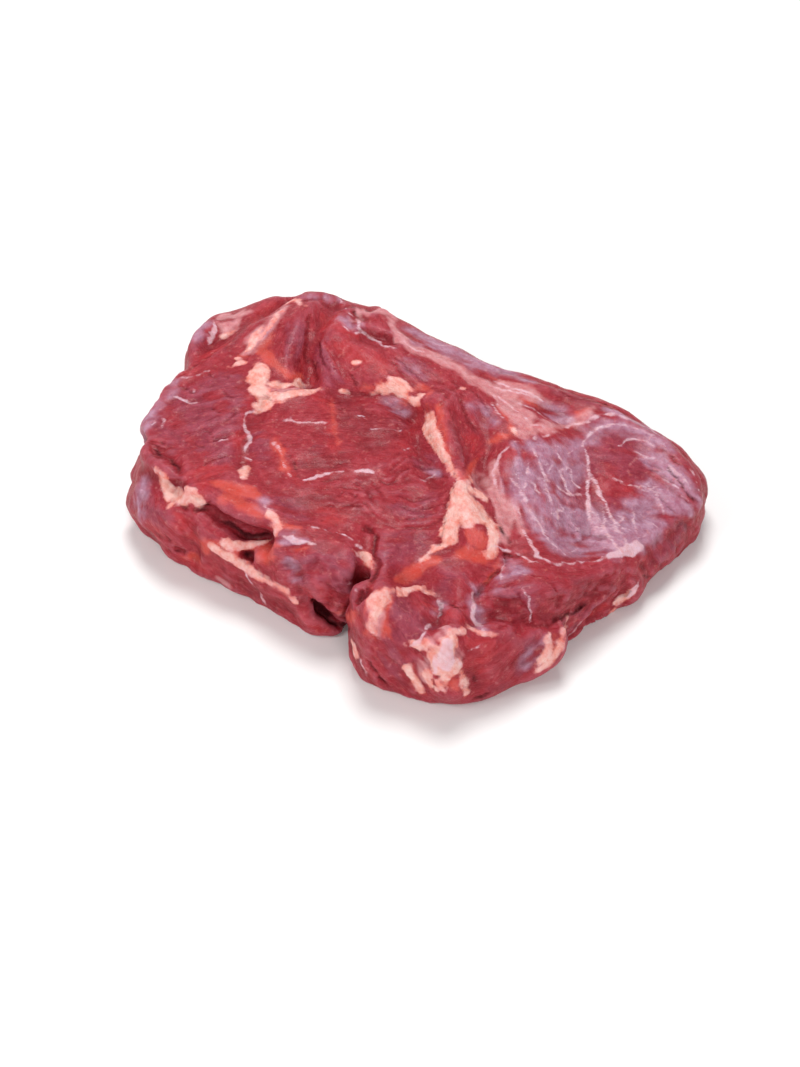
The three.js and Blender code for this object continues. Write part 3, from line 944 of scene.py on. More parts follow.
SILVER_AND_SHEEN = {
    "back folds": [(596, 424, 6), (615, 426, 7), (634, 430, 7), (652, 438, 6), (668, 450, 4)],
    "skyline": [(610, 411, 4), (630, 419, 5), (650, 430, 5), (668, 442, 4)],
    "left back fold": [(583, 432, 5), (592, 440, 4)],
    "back band": [
        (408, 330, 5), (422, 336, 7), (440, 344, 7), (456, 352, 7), (474, 360, 6),
        (492, 368, 6), (512, 375, 5), (530, 381, 4),
    ],
    "back band inner": [(415, 343, 3), (430, 346, 3), (455, 357, 3), (478, 368, 4), (495, 374, 2)],
    "crown": [(306, 297, 1), (320, 297, 2), (336, 301, 1)],
    "crown right": [(343, 318, 4), (350, 326, 4), (358, 326, 3)],
    # Painted glare on the wet middle muscle, laid in the film's colour.
    "glare on the middle": [(386, 402, 3), (394, 406, 5), (401, 411, 4)],
    "tip of the left lip": [(158, 404, 4), (150, 413, 6), (146, 423, 5), (143, 433, 3)],
    # Painted lavender sheen on the wet left lobe.
    "left lobe": [(147, 482, 4), (142, 492, 6), (137, 503, 6), (141, 515, 4)],
    "arm of fat": [(262, 333, 3), (267, 333, 3)],
    "back piece": [(203, 325, 5), (196, 336, 4)],
    "left muscle": [(176, 384, 3), (170, 397, 4)],
    "by the upright": [(262, 503, 5), (268, 508, 3)],
    "drop": [(285, 539, 3), (294, 538, 3), (301, 540, 2)],
    "front muscle": [(288, 563, 2), (298, 571, 3), (290, 577, 1)],
    "front lobe": [(443, 604, 3), (438, 612, 2)],
    "back of the front lobe": [
        (505, 563, 3), (515, 568, 5), (524, 572, 3), (502, 578, 3), (497, 588, 1),
    ],
    "seam of the front lobe": [(476, 590, 3), (474, 605, 3), (476, 620, 4), (482, 629, 3)],
    "right side": [(546, 642, 3), (543, 650, 3)],
    "side recess": [(530, 652, 4), (525, 662, 3)],
    "front fold": [(432, 468, 1), (438, 473, 1)],
    "slope": [(548, 405, 4), (560, 414, 6), (567, 420, 5), (552, 418, 4)],
    "flap": [(470, 405, 2), (482, 412, 3), (492, 422, 2)],
    "behind the triangle": [(405, 362, 1), (414, 370, 2), (424, 376, 1)],
    "lobe, top left": [(520, 447, 6), (540, 448, 9), (556, 452, 12), (572, 452, 10), (580, 444, 6)],
    "lobe, below it": [(545, 465, 10), (560, 472, 13), (575, 470, 10), (566, 486, 7)],
    "lobe, left": [(512, 478, 6), (514, 490, 8), (524, 500, 8)],
    "lobe, low left": [(534, 518, 10), (545, 532, 12), (560, 545, 14), (578, 552, 10)],
    "lobe, middle": [
        (560, 520, 12), (580, 524, 12), (600, 524, 14), (596, 540, 16), (612, 548, 10),
    ],
    "lobe, low right": [(625, 520, 14), (645, 522, 16), (655, 530, 12), (640, 540, 10)],
    "lobe, right": [(645, 485, 10), (658, 494, 12), (672, 502, 12), (688, 506, 7)],
    "lobe, top right": [
        (648, 450, 8), (662, 462, 11), (676, 476, 11), (688, 490, 9), (699, 502, 6),
    ],
    "lobe, all over": [
        (520, 470, 14), (545, 498, 18), (580, 520, 22), (615, 532, 22), (640, 525, 14),
    ],
    "lobe, inner right": [(634, 502, 8), (648, 508, 10)],
}
GAPS = {
    "window": [(598, 456, 6), (612, 464, 11), (628, 470, 12), (640, 477, 6)],
    "left": [(510, 452, 5), (512, 460, 5)],
    "gap 1": [(536, 484, 2), (541, 493, 3), (546, 503, 2)],
    "gap 2": [(550, 492, 2), (560, 499, 3), (572, 506, 4), (582, 509, 2)],
    "gap 3": [(604, 494, 2), (613, 500, 3), (620, 505, 2)],
    "gap 4": [(624, 490, 5), (632, 492, 5)],
    "gap 5": [(585, 500, 3), (586, 508, 3)],
    "red corner": [(694, 518, 5), (684, 526, 5), (672, 534, 3)],
    "spot": [(660, 448, 2), (672, 456, 3), (679, 462, 2)],
    "right": [(682, 487, 1.5), (690, 497, 2.5), (696, 503, 1.5)],
}
STRANDS_AND_GLINTS = {
    # Painted glint on the back piece.
    "back piece": [(213, 322, 0.7), (214, 330, 2.2), (212, 337, 1.7), (206, 345, 1.2)],
    "left seam": [
        (252, 411, 1.7), (247, 415, 1.2), (245, 421, 0.9), (246, 428, 1.5), (248, 434, 1.7),
        (249, 444, 1.7), (246, 450, 0.5), (245, 457, 0.7),
    ],
    "left seam star": [(243, 458, 0.9), (248, 459, 1.5), (255, 461, 0.5)],
    "left seam wing": [(251, 418, 0.7), (258, 421, 0.5)],
    "marbling left": [
        (304, 481, 1.7), (312, 479, 2.2), (320, 476, 1.7), (330, 473, 0.9), (345, 471, 0.5),
    ],
    "marbling right": [(352, 471, 0.7), (360, 472, 1.5), (368, 471, 1.7), (376, 476, 0.7)],
    "long thread": [
        (272, 419, 0.3), (290, 420, 0.5), (305, 422, 0.6), (318, 423, 0.6), (326, 422, 0.3),
    ],
    "thread": [(355, 416, 0.5), (362, 416, 0.6), (367, 418, 0.5)],
    "thin thread": [(371, 429, 0.3), (385, 429, 0.4), (400, 429, 0.3)],
    "hook": [(403, 451, 0.7), (410, 448, 0.9), (417, 445, 0.7)],
    "zigzag": [(398, 492, 1.2), (404, 490, 0.9), (409, 489, 1.2), (412, 484, 0.9), (416, 482, 0.7)],
    "zigzag above": [(422, 480, 0.7), (430, 477, 0.9), (436, 474, 0.9), (439, 471, 0.7)],
    "drop": [(286, 537, 2), (294, 537, 2.8), (301, 541, 1.5), (308, 543, 1.5), (316, 545, 0.8)],
    "above the drop": [(305, 529, 1.0), (312, 528, 1.5), (320, 529, 0.9), (329, 531, 0.5)],
    "curl": [(153, 425, 0.7), (157, 420, 0.9), (161, 417, 0.9), (165, 419, 0.7), (162, 430, 0.7)],
    "by the upright": [(259, 502, 1.2), (266, 507, 1.7), (272, 512, 1.2)],
    "back membrane": [
        (338, 298, 0.7), (343, 305, 0.9), (350, 313, 0.7), (356, 320, 1.2), (360, 328, 1.2),
        (372, 338, 1.2), (382, 346, 1.2), (395, 349, 0.9),
    ],
    "back membrane low": [(341, 323, 0.7), (347, 331, 0.9), (355, 334, 0.7), (362, 333, 0.7)],
    "left of the mass": [
        (508, 447, 0.7), (503, 454, 1.2), (497, 464, 1.2), (493, 474, 1.2), (496, 484, 1.2),
        (500, 492, 0.9), (503, 499, 0.7),
    ],
    # Painted glint on the left flap.
    "left flap": [(359, 654, 0.7), (362, 664, 0.9), (368, 676, 0.8)],
    "line by the crack": [
        (334, 532, 0.7), (341, 535, 0.9), (350, 539, 0.9), (358, 545, 0.9), (365, 550, 0.9),
    ],
    "edge of the front muscle": [(345, 579, 0.5), (351, 584, 0.7), (355, 590, 0.5)],
    "nose": [(468, 651, 0.5), (476, 648, 0.7), (484, 645, 0.5)],
    "side line": [(500, 585, 0.7), (501, 575, 0.7), (503, 565, 0.7), (502, 556, 0.7)],
    "band edge": [(398, 332, 0.7), (402, 340, 0.9), (412, 348, 0.9), (424, 352, 0.7)],
    "slope line": [(500, 406, 0.7), (496, 400, 0.7), (490, 392, 0.7)],
    "flap edge": [(505, 420, 0.7), (500, 416, 0.7), (494, 408, 0.7), (488, 400, 0.5)],
    "left muscle": [(178, 381, 0.7), (184, 378, 0.7), (196, 376, 0.7), (210, 371, 0.5)],
    "left muscle low": [(172, 396, 0.7), (178, 398, 0.9), (186, 401, 0.7), (196, 403, 0.5)],
    "left muscle cross": [(193, 392, 0.7), (190, 388, 0.7), (196, 384, 0.5)],
    "lower left muscle": [(220, 441, 0.5), (228, 437, 0.7), (234, 433, 0.5)],
    "side": [(568, 640, 0.7), (575, 630, 0.7), (580, 622, 0.5)],
    "front lobe crossing": [(520, 588, 0.7), (528, 598, 0.7), (531, 612, 0.7), (530, 622, 0.5)],
    "lobe brow": [(508, 577, 0.5), (518, 573, 0.7), (530, 576, 0.5)],
    "white of the cap": [(449, 636, 2.5), (446, 646, 5), (444, 658, 7), (450, 668, 6)],
    "long left": [
        (532, 448, 0.6), (536, 456, 0.9), (541, 466, 0.9), (546, 476, 1.2), (552, 482, 0.9),
        (562, 490, 0.7), (570, 494, 0.6), (583, 495, 0.4),
    ],
    "thin left": [(528, 463, 0.7), (528, 477, 1.0), (526, 486, 1.0), (525, 497, 0.7)],
    "thin left branch": [(528, 477, 0.7), (535, 486, 0.9), (541, 494, 0.5)],
    "branch": [(545, 478, 0.7), (547, 488, 0.7), (551, 500, 0.7), (555, 510, 0.9)],
    "net": [
        (508, 478, 0.4), (516, 486, 0.6), (522, 494, 1.0), (527, 505, 1.0), (533, 515, 1.0),
        (540, 525, 1.0), (545, 535, 0.8), (553, 545, 0.8), (562, 552, 0.8), (572, 558, 0.6),
        (582, 565, 0.4),
    ],
    "upper": [
        (557, 451, 0.9), (562, 459, 0.9), (567, 466, 0.7), (560, 471, 0.7), (563, 482, 0.9),
        (568, 491, 0.9), (575, 496, 0.7),
    ],
    "upper right": [(571, 468, 0.5), (572, 480, 0.7), (578, 488, 0.7), (584, 490, 0.5)],
    "main": [
        (586, 446, 0.1), (587, 460, 0.6), (590, 472, 1.1), (589, 485, 1.5), (590, 500, 1.5),
        (589, 515, 1.1), (588, 525, 0.5),
    ],
    "second": [
        (591, 472, 0.3), (598, 487, 1.1), (603, 500, 1.3), (610, 515, 1.1), (618, 530, 1.1),
        (624, 540, 0.9), (628, 548, 0.3),
    ],
    "third": [(601, 508, 0.3), (604, 522, 0.7), (607, 535, 0.9), (613, 545, 1.1), (618, 552, 0.8)],
    "fourth": [(632, 505, 0.7), (634, 515, 0.9), (634, 525, 0.9), (638, 535, 0.7)],
    "arc": [
        (519, 510, 0.5), (522, 525, 0.8), (525, 537, 1.2), (531, 547, 1.6), (538, 556, 1.8),
        (548, 562, 1.2), (560, 565, 0.6), (575, 563, 0.4), (588, 563, 0.4), (600, 561, 0.6),
        (612, 557, 0.6), (625, 555, 0.4), (638, 550, 0.2),
    ],
    "fan": [(495, 546, 1.2), (506, 549, 1.5), (518, 553, 1.2), (530, 559, 0.9), (540, 563, 0.7)],
    "star": [(551, 514, 0.7), (558, 510, 1.3), (566, 513, 0.9), (576, 514, 0.5)],
    "star's leg": [(556, 511, 0.9), (557, 520, 0.9), (561, 529, 0.5)],
    # Painted sheen on the edge of the membrane.
    "white corner": [(604, 557, 1.5), (616, 554, 4), (630, 549, 6), (643, 545, 3.5)],
    "brow": [
        (583, 448, 0.5), (584, 441, 0.8), (590, 434, 1.1), (596, 428, 1.1), (604, 425, 0.8),
        (616, 424, 0.6), (630, 426, 0.6), (642, 431, 0.5), (655, 438, 0.5), (668, 447, 0.1),
    ],
    "brow low": [
        (618, 447, 0.4), (624, 441, 0.7), (634, 439, 0.6), (645, 441, 0.6), (655, 447, 0.3),
    ],
    "cream line": [
        (604, 474, 0.3), (610, 478, 0.5), (618, 480, 0.7), (626, 484, 0.6), (636, 488, 0.5),
        (646, 491, 0.4),
    ],
    "cream line above": [(632, 452, 0.4), (644, 455, 0.5), (655, 458, 0.5), (664, 464, 0.3)],
    "back fold": [
        (586, 420, 0.5), (600, 414, 0.9), (615, 415, 0.9), (635, 421, 0.9), (652, 430, 0.7),
        (665, 440, 0.5),
    ],
    "ridge line": [(515, 442, 0.7), (530, 440, 0.9), (545, 435, 1.1), (552, 432, 0.7)],
    "right end high": [(664, 464, 0.5), (674, 470, 0.7), (684, 478, 0.7), (692, 488, 0.5)],
    "right end middle": [(656, 476, 0.5), (668, 482, 0.7), (678, 490, 0.7), (688, 500, 0.5)],
    "right end low": [(648, 486, 0.3), (656, 494, 0.4), (661, 504, 0.4), (664, 514, 0.3)],
    "rim": [(690, 468, 0.3), (697, 482, 0.5), (702, 496, 0.5)],
    "seam of the front lobe": [
        (474, 594, 1.2), (475, 604, 1.7), (473, 612, 1.7), (473, 618, 2.7), (478, 625, 2.9),
        (486, 631, 1.7),
    ],
    "ribbon": [(434, 622, 0.9), (427, 628, 1.7), (423, 636, 1.7), (418, 643, 1.7), (411, 647, 1.2)],
    "by the lobe in the lobe": [(437, 600, 1.2), (441, 605, 1.7), (440, 612, 1.2), (437, 619, 0.7)],
    "thin line in front": [
        (243, 568, 0.7), (248, 576, 0.7), (252, 582, 0.9), (258, 590, 1.1), (261, 597, 1.1),
        (265, 604, 1.1), (272, 612, 0.5),
    ],
    "right foot": [(625, 599, 1.2), (631, 592, 2.2), (638, 586, 2.2), (640, 580, 0.7)],
    "white of the cap, left": [(440, 652, 2), (436, 662, 3), (434, 672, 2)],
    "white of the cap, right": [(455, 658, 2), (462, 667, 2)],
    "slope thread 1": [(488, 380, 0.6), (505, 386, 0.8), (525, 392, 0.8), (545, 402, 0.6)],
    "slope thread 2": [(510, 398, 0.6), (530, 408, 0.8), (548, 420, 0.6)],
    "slope thread 3": [(528, 425, 0.6), (550, 428, 0.8), (575, 426, 0.8), (595, 418, 0.6)],
    "branch of marbling": [(271, 439, 0.3), (276, 446, 0.7), (281, 454, 0.3)],
    "branch of marbling low": [(285, 462, 0.3), (289, 470, 0.8), (292, 478, 0.4)],
    "slope thread 4": [(498, 396, 0.4), (513, 408, 0.9), (530, 420, 0.5)],
    "slope thread 5": [(490, 386, 0.4), (512, 392, 0.9), (535, 398, 0.5)],
}


def wander(skin, start, heading, steps, half):
    """A route over the surface that turns a little at every step."""
    place = skin.spots[start]
    route = [place]
    for _ in range(steps):
        heading = heading / np.linalg.norm(heading) + TURN * random.normal(size=3)
        ahead = Vector(place + WANDER_STEP_MM * heading / np.linalg.norm(heading))
        hit, facing, _, _ = skin.tree.find_nearest(ahead)
        heading = np.array(hit) - place
        place = np.array(hit)
        route.append(place)
    ends = np.abs(np.linspace(-1, 1, len(route)))
    halves = half * (BLUNT - ends) * random.uniform(*UNEVEN, len(route))
    return np.array(route), halves


film_and_sheen = feathered(mask(skin, spots, SILVER_AND_SHEEN, FILM_AND_SHEEN_SOFT_MM), FILM_AND_SHEEN_TEAR)
coat["silver_and_sheen"] = film_and_sheen * (1 - mask(skin, spots, GAPS, GAP_SOFT_MM))
coat["strand_and_glint"] = mask(skin, spots, STRANDS_AND_GLINTS, STRAND_AND_GLINT_SOFT_MM, TAPER, STRAND_AND_GLINT_EDGE)
filmed = np.flatnonzero(coat["silver_and_sheen"] > FILMED)
for start in random.choice(filmed, THREADS):
    route, halves = wander(skin, start, ways[start], THREAD_STEPS, THREAD_HALF_MM)
    thread = coat["silver_and_sheen"] * inside(spots, route, halves, THREAD_SOFT_MM, THREAD_EDGE)
    coat["strand_and_glint"] = np.maximum(coat["strand_and_glint"], thread)
print("silverskin on", int((coat["silver_and_sheen"] > 0.5).sum()), "vertices")

# %% [markdown]
# ## The tones of the lean
# Lean is not one red. A cut face that has met the air is bright, deep meat is crimson, and a face with a
# little silverskin left on it is mauve. Crimson is also painted as shade into recesses, under the lobes and
# along the board. These are wide soft marks with no relief.

# %% Mauve, crimson with painted shade, and bright lean
TONE_TEAR = 0.3

MAUVE = {
    "left muscle": [(185, 395, 14), (200, 415, 20), (212, 435, 20), (222, 455, 12)],
    "left muscle top": [(205, 385, 12), (225, 380, 12), (235, 400, 10), (232, 425, 10)],
    "left lip": [(155, 420, 10), (168, 432, 10), (185, 445, 8)],
    "left lobe": [(145, 490, 10), (152, 510, 12), (165, 520, 8)],
    "front muscle": [(290, 568, 6), (302, 578, 8), (320, 552, 8), (335, 560, 10)],
    "front muscle right": [(350, 560, 8), (345, 590, 9), (325, 575, 7)],
    "back of the hump": [(300, 330, 8), (290, 350, 7)],
    "right hump": [(318, 352, 8), (325, 365, 8), (334, 378, 7)],
    "middle low": [(400, 505, 10), (415, 515, 10), (430, 500, 8)],
    "middle right": [(432, 458, 8), (440, 468, 7), (425, 465, 7)],
    "right of the crack": [(400, 545, 12), (420, 545, 12), (390, 560, 10)],
    "lobe over the front": [(450, 575, 10), (445, 590, 8)],
    "front lobe": [(402, 610, 20), (415, 625, 20), (400, 640, 12)],
    "lower front": [(390, 655, 8), (400, 670, 10), (415, 660, 5)],
    "right front": [(510, 590, 10), (530, 600, 8), (520, 575, 8)],
    "side recess": [(530, 645, 10), (535, 658, 10), (522, 668, 6)],
    "behind the triangle": [(410, 366, 7), (425, 375, 7)],
    "flap": [(480, 408, 9), (490, 420, 7)],
    "window": [(598, 448, 9), (615, 460, 13), (634, 468, 13), (645, 476, 7)],
    "back piece": [(203, 325, 6), (198, 345, 5)],
    "right lobe": [
        (530, 470, 14), (560, 480, 18), (600, 520, 22), (650, 510, 20), (560, 530, 14),
        (600, 440, 14), (640, 445, 10),
    ],
    "by the branch": [(258, 440, 7), (262, 460, 7)],
    "left middle": [(285, 500, 8), (300, 515, 8)],
    "right side": [(560, 640, 6), (590, 610, 5)],
    "right edge": [(655, 560, 8), (668, 546, 8), (684, 530, 7)],
}
# Crimson is deep meat, and in the mouth, recesses, notch, cavity, folds, under the lobes and along the board
# it is painted shade.
CRIMSON_AND_SHADE = {
    "middle muscle": [
        (346, 408, 17), (365, 425, 21), (392, 428, 19), (403, 415, 11), (372, 442, 14),
    ],
    "mouth": [(215, 518, 5), (228, 516, 6), (240, 522, 7), (255, 530, 6), (266, 534, 4)],
    "recess": [(150, 450, 6), (160, 456, 7), (172, 456, 6), (180, 468, 5)],
    "pocket": [(174, 480, 4), (182, 484, 4)],
    "face under the ridge": [
        (225, 572, 6), (238, 580, 8), (252, 592, 9), (270, 602, 10), (287, 608, 8),
    ],
    "notch": [(330, 605, 5), (345, 615, 4), (358, 600, 5), (372, 575, 3)],
    "front of the front lobe": [
        (482, 608, 8), (495, 616, 11), (515, 616, 10), (505, 604, 8), (528, 622, 5),
    ],
    "hollow at the back": [(372, 333, 5), (382, 337, 6), (392, 338, 4)],
    "behind the right lobe": [(554, 390, 5), (572, 397, 8), (590, 403, 8), (606, 409, 5)],
    "back corner": [(350, 302, 3), (356, 312, 3), (366, 318, 3)],
    "middle of the flap": [(452, 425, 5), (456, 445, 6), (460, 460, 4)],
    "side under the lobe": [(570, 600, 6), (590, 596, 6), (610, 590, 5), (580, 585, 5)],
    "side at the board": [(480, 695, 3), (500, 688, 3), (385, 685, 3), (400, 692, 3)],
    "fold": [(362, 478, 4), (368, 490, 4), (374, 505, 4)],
    "left flap": [(351, 637, 3), (362, 668, 4), (372, 682, 5)],
    "in the middle": [(315, 455, 8), (340, 460, 8), (300, 465, 6)],
    "right hollow": [(470, 425, 3), (476, 430, 3)],
    "right end": [(690, 520, 4), (680, 530, 4), (668, 545, 5)],
    "beside the mass": [(500, 525, 3), (497, 540, 3), (510, 540, 4)],
    "arm's shadow": [(247, 320, 5), (240, 335, 5), (230, 348, 4)],
    "nose below": [(478, 680, 4), (470, 672, 3)],
    "cavity": [(305, 600, 5), (318, 612, 8), (332, 624, 7), (346, 626, 6)],
    "front left of the lobe": [(386, 684, 4), (400, 692, 3)],
    "below": [(300, 500, 10), (330, 500, 10), (350, 510, 8)],
    "hump": [(290, 330, 6), (294, 350, 6), (298, 368, 5)],
    "right end high": [(664, 450, 3), (676, 458, 5), (688, 470, 4)],
}
BRIGHT = {
    "flap": [(443, 410, 5), (447, 430, 5), (452, 448, 4)],
    "flap right": [(470, 440, 6), (480, 445, 6), (474, 455, 4)],
    "foot flap": [(182, 560, 5), (192, 567, 7), (202, 562, 5)],
    "notch flap": [(306, 618, 6), (318, 628, 8), (332, 630, 5)],
    "flap at the board": [(364, 668, 4), (371, 680, 6), (380, 687, 4)],
    "block in the cap": [(452, 684, 6), (456, 692, 7)],
    "spot": [(674, 455, 3), (677, 460, 3)],
    "streak": [(657, 447, 1.5), (665, 450, 2), (672, 457, 2), (680, 463, 2)],
    "streak low": [(675, 480, 1), (682, 486, 2), (690, 494, 2), (695, 500, 1)],
    "under the window": [(628, 488, 4), (632, 494, 3)],
    "silverskin gap": [(552, 490, 3), (562, 497, 4), (574, 505, 4), (582, 509, 2)],
    "gap left": [(538, 480, 3), (543, 488, 3), (548, 500, 2)],
    "gap under the edge": [(510, 553, 2), (522, 556, 2.5), (532, 566, 3)],
    "gap right": [(612, 502, 3), (618, 506, 2)],
    "left face": [(170, 560, 4), (205, 565, 5), (220, 572, 4)],
    "mouth's roof": [(205, 490, 5), (200, 480, 6), (215, 475, 6)],
    "below the middle": [(320, 505, 8), (345, 515, 8), (330, 520, 6)],
    "left edge of the crack": [(362, 540, 3), (365, 575, 3), (372, 590, 2)],
    "front strip": [(430, 605, 4), (455, 615, 6), (460, 622, 5), (465, 612, 4)],
    "front low": [(465, 662, 5), (478, 668, 5), (490, 662, 4)],
    "right side": [(640, 565, 5), (655, 555, 5), (668, 540, 4)],
    "side above the board": [(570, 625, 5), (590, 615, 5), (610, 600, 5)],
    "hump top": [(275, 305, 6), (262, 312, 6), (250, 325, 5)],
    "red strip": [(225, 345, 5), (205, 358, 4), (188, 372, 4)],
    "right of the crease": [(345, 345, 10), (360, 355, 10), (375, 360, 8), (385, 370, 6)],
    "crown": [(330, 320, 10), (350, 335, 8)],
    "silver gap": [(508, 455, 5), (512, 465, 4)],
    "lower left lobe": [(150, 525, 5), (160, 535, 5)],
    "left of the seam": [(205, 470, 6), (225, 468, 6), (190, 475, 4)],
    "beside the third lump, red": [
        (252, 398, 5), (246, 405, 5), (240, 414, 5), (237, 428, 5), (238, 445, 5),
    ],
    "band in the muscle, red": [
        (318, 398, 6), (328, 404, 6), (332, 418, 6), (335, 438, 5), (334, 455, 5),
    ],
    "branch of marbling, red": [
        (273, 434, 3), (279, 448, 4.5), (285, 463, 4.5), (291, 476, 4), (301, 481, 3),
    ],
    "left of the right seam, red": [
        (420, 410, 4), (418, 420, 3), (404, 436, 4), (399, 446, 4), (405, 446, 3),
    ],
    "hump, red": [(306, 350, 3), (304, 370, 4), (310, 380, 4), (318, 380, 3)],
    "tongue": [(322, 584, 6), (326, 597, 6)],
    "notch floor": [(338, 608, 6), (350, 614, 7), (360, 620, 6)],
    "second lobe": [(172, 520, 8), (184, 528, 9), (194, 536, 6)],
    "roll by the cap": [(472, 640, 6), (490, 644, 8), (488, 658, 8), (474, 664, 5)],
}
TONES = {"mauve": (MAUVE, 9.0), "crimson_and_shade": (CRIMSON_AND_SHADE, 6.0), "bright": (BRIGHT, 6.0)}
for tone, (marks, soft) in TONES.items():
    coat[tone] = feathered(mask(skin, spots, marks, soft), TONE_TEAR)
print("mauve on", int((coat["mauve"] > 0.5).sum()), "vertices")

# %% [markdown]
# ## Dark places, painted shade and blood
# Light hardly reaches the bottom of a crevice, and blood gathers there. The carved marks are used again,
# now as a colour of painted shade and blood, with a few dark spots and edges that are too small to carve,
# some where the meat meets the board.

# %% Crevices as painted shade and blood
# Small spots of painted shade and blood, in corners, grooves and along the board.
DARK_SPOTS = {
    "eye of the hump": [(286, 341, 1.5), (287, 343, 1.5)],
    "dark corner": [(204, 510, 2), (207, 505, 3), (210, 502, 2)],
    "mouth's depth": [(218, 522, 1.5), (230, 526, 3), (245, 533, 3), (260, 536, 3)],
    "under the lobe": [(642, 577, 2), (652, 577, 2)],
    "right foot": [(624, 597, 2), (630, 591, 1.5)],
    "left foot": [(148, 438, 2), (143, 439, 2)],
    "recess": [(148, 446, 1), (156, 450, 2), (163, 457, 1.5)],
    "recess low": [(168, 455, 1), (174, 463, 2), (181, 472, 1.5)],
    "back corner": [(347, 299, 1.5), (352, 307, 1.5), (357, 316, 1.5), (365, 320, 1)],
    "corner spot": [(366, 304, 1), (367, 308, 1)],
    "back edge": [(560, 391, 1), (575, 398, 1), (592, 401, 1), (606, 405, 1.5), (613, 410, 1.5)],
    "curl": [(161, 420, 1), (162, 422, 1)],
    "front board edge": [(475, 698, 3), (490, 694, 2)],
    "left board edge": [(350, 632, 2), (346, 627, 3)],
    "foot of the flap": [
        (366, 660, 1), (371, 668, 1.5), (378, 676, 2), (388, 684, 2), (399, 690, 1.5),
    ],
    "by the cap": [(475, 672, 1.2), (474, 682, 1.2)],
    "streaks": [(690, 497, 1), (694, 502, 1)],
    "slope": [(560, 413, 0.8), (556, 410, 0.8)],
    "wedge": [(498, 522, 1.5), (502, 532, 3), (508, 541, 3)],
    "silverskin's foot": [(606, 566, 1.5), (612, 571, 1.5)],
    "crumb by the triangle": [(385, 352, 1), (387, 358, 1)],
    "triangle's back": [(348, 372, 1), (353, 380, 1), (359, 388, 1)],
    "triangle's side": [(352, 370, 1), (361, 364, 0.8)],
    "lobe seam": [(443, 601, 1.2), (455, 606, 1.5), (466, 607, 1.5)],
    "front fold": [(440, 603, 1.5), (441, 613, 2), (437, 622, 1.5)],
    "second lobe": [(164, 526, 1), (168, 540, 1.2), (171, 549, 1.5)],
    "stain": [(323, 518, 1.2), (322, 519, 1.2)],
    "lean pit": [(317, 565, 1.5), (316, 572, 1.5)],
    "crease left": [(317, 342, 0.8), (320, 356, 0.8), (326, 368, 0.8), (332, 378, 0.6)],
    "notch": [(308, 596, 1.5), (314, 602, 2.5), (318, 612, 2), (327, 620, 2.5), (338, 626, 3)],
    "foot gap": [(171, 547, 1.5), (178, 550, 3), (184, 554, 2)],
    "right end groove 1": [
        (667, 467, 1), (677, 477, 1.2), (685, 488, 1.5), (693, 497, 1.8), (697, 503, 1.2),
    ],
    "right end groove 2": [(655, 446, 0.8), (664, 450, 1.2), (672, 456, 1.2), (680, 464, 1)],
    "right end groove 3": [(657, 474, 0.8), (667, 482, 1), (676, 490, 0.8)],
    "beside the branch": [(287, 446, 0.6), (293, 460, 1), (298, 474, 1), (302, 482, 0.6)],
}
# Each row has the marks, the softness of their edge and how dark they are.
DARK_MARKS = ((PITS, 2.4, 1.0), (CREVICES, 2.0, 0.8), (STEPS, 1.8, 0.45), (DARK_SPOTS, 1.5, 0.8))
darkened = [mask(skin, spots, marks, soft, TAPER) * deep for marks, soft, deep in DARK_MARKS]
coat["dark"] = np.max(darkened, axis=0)
print("dark on", int((coat["dark"] > 0.5).sum()), "vertices")

# %% [markdown]
# ## The sides that the photograph hides
# The back, the left end and the underside don't show, and no mark from the camera reaches them. On a real
# chuck the same seams run on round the piece, so here they are grown: each starts on a hidden spot and
# wanders over the surface as the threads of the silverskin did, drawn from the same seeded generator.

# %% Grow seams on the hidden sides
# Each row has how many seams there are, their steps, their half width and the softness of their edge.
HIDDEN_SEAMS = {
    "fat": (16, 14, 1.6, 3.4),
    "strand_and_glint": (46, 9, 0.4, 2.2),
    "pink": (10, 8, 6.0, 6.0),
    "silver_and_sheen": (12, 9, 4.5, 7.0),
    "blush": (12, 9, 2.0, 5.0),
    "mauve": (14, 8, 9.0, 9.0),
    "crimson_and_shade": (12, 7, 8.0, 6.0),
    "bright": (12, 7, 7.0, 6.0),
    # Dark seams are painted shade and blood, as in the crevices.
    "dark": (16, 8, 0.7, 2.0),
}
SEAM_TEAR = 0.3
HIDDEN_START = -0.5
HIDDEN_STEEP = 5
WELL_HIDDEN = 0.9


def hidden_share(skin):
    """1 where the surface faces away from the camera, falling to 0 where it shows."""
    to_eye = EYE_MM - skin.spots
    to_eye = to_eye / np.linalg.norm(to_eye, axis=1)[:, None]
    return np.clip(HIDDEN_START - HIDDEN_STEEP * (skin.facing * to_eye).sum(axis=1), 0, 1)


unseen = hidden_share(skin)
hidden = np.flatnonzero(unseen > WELL_HIDDEN)
for tissue, (count, steps, half, soft) in HIDDEN_SEAMS.items():
    for start in random.choice(hidden, count):
        heading = np.cross(skin.facing[start], random.normal(size=3))
        route, halves = wander(skin, start, heading, steps, half)
        grown = unseen * feathered(inside(spots, route, halves, soft), SEAM_TEAR)
        coat[tissue] = np.maximum(coat[tissue], grown)
print("seams grown on", len(hidden), "hidden vertices")

# %% [markdown]
# ## Relief
# Now everything that stands out or sinks in is added up and the skin is moved once: proud fat, raised
# strands, wrinkles, soft lumps, and the ridges of the fibres.

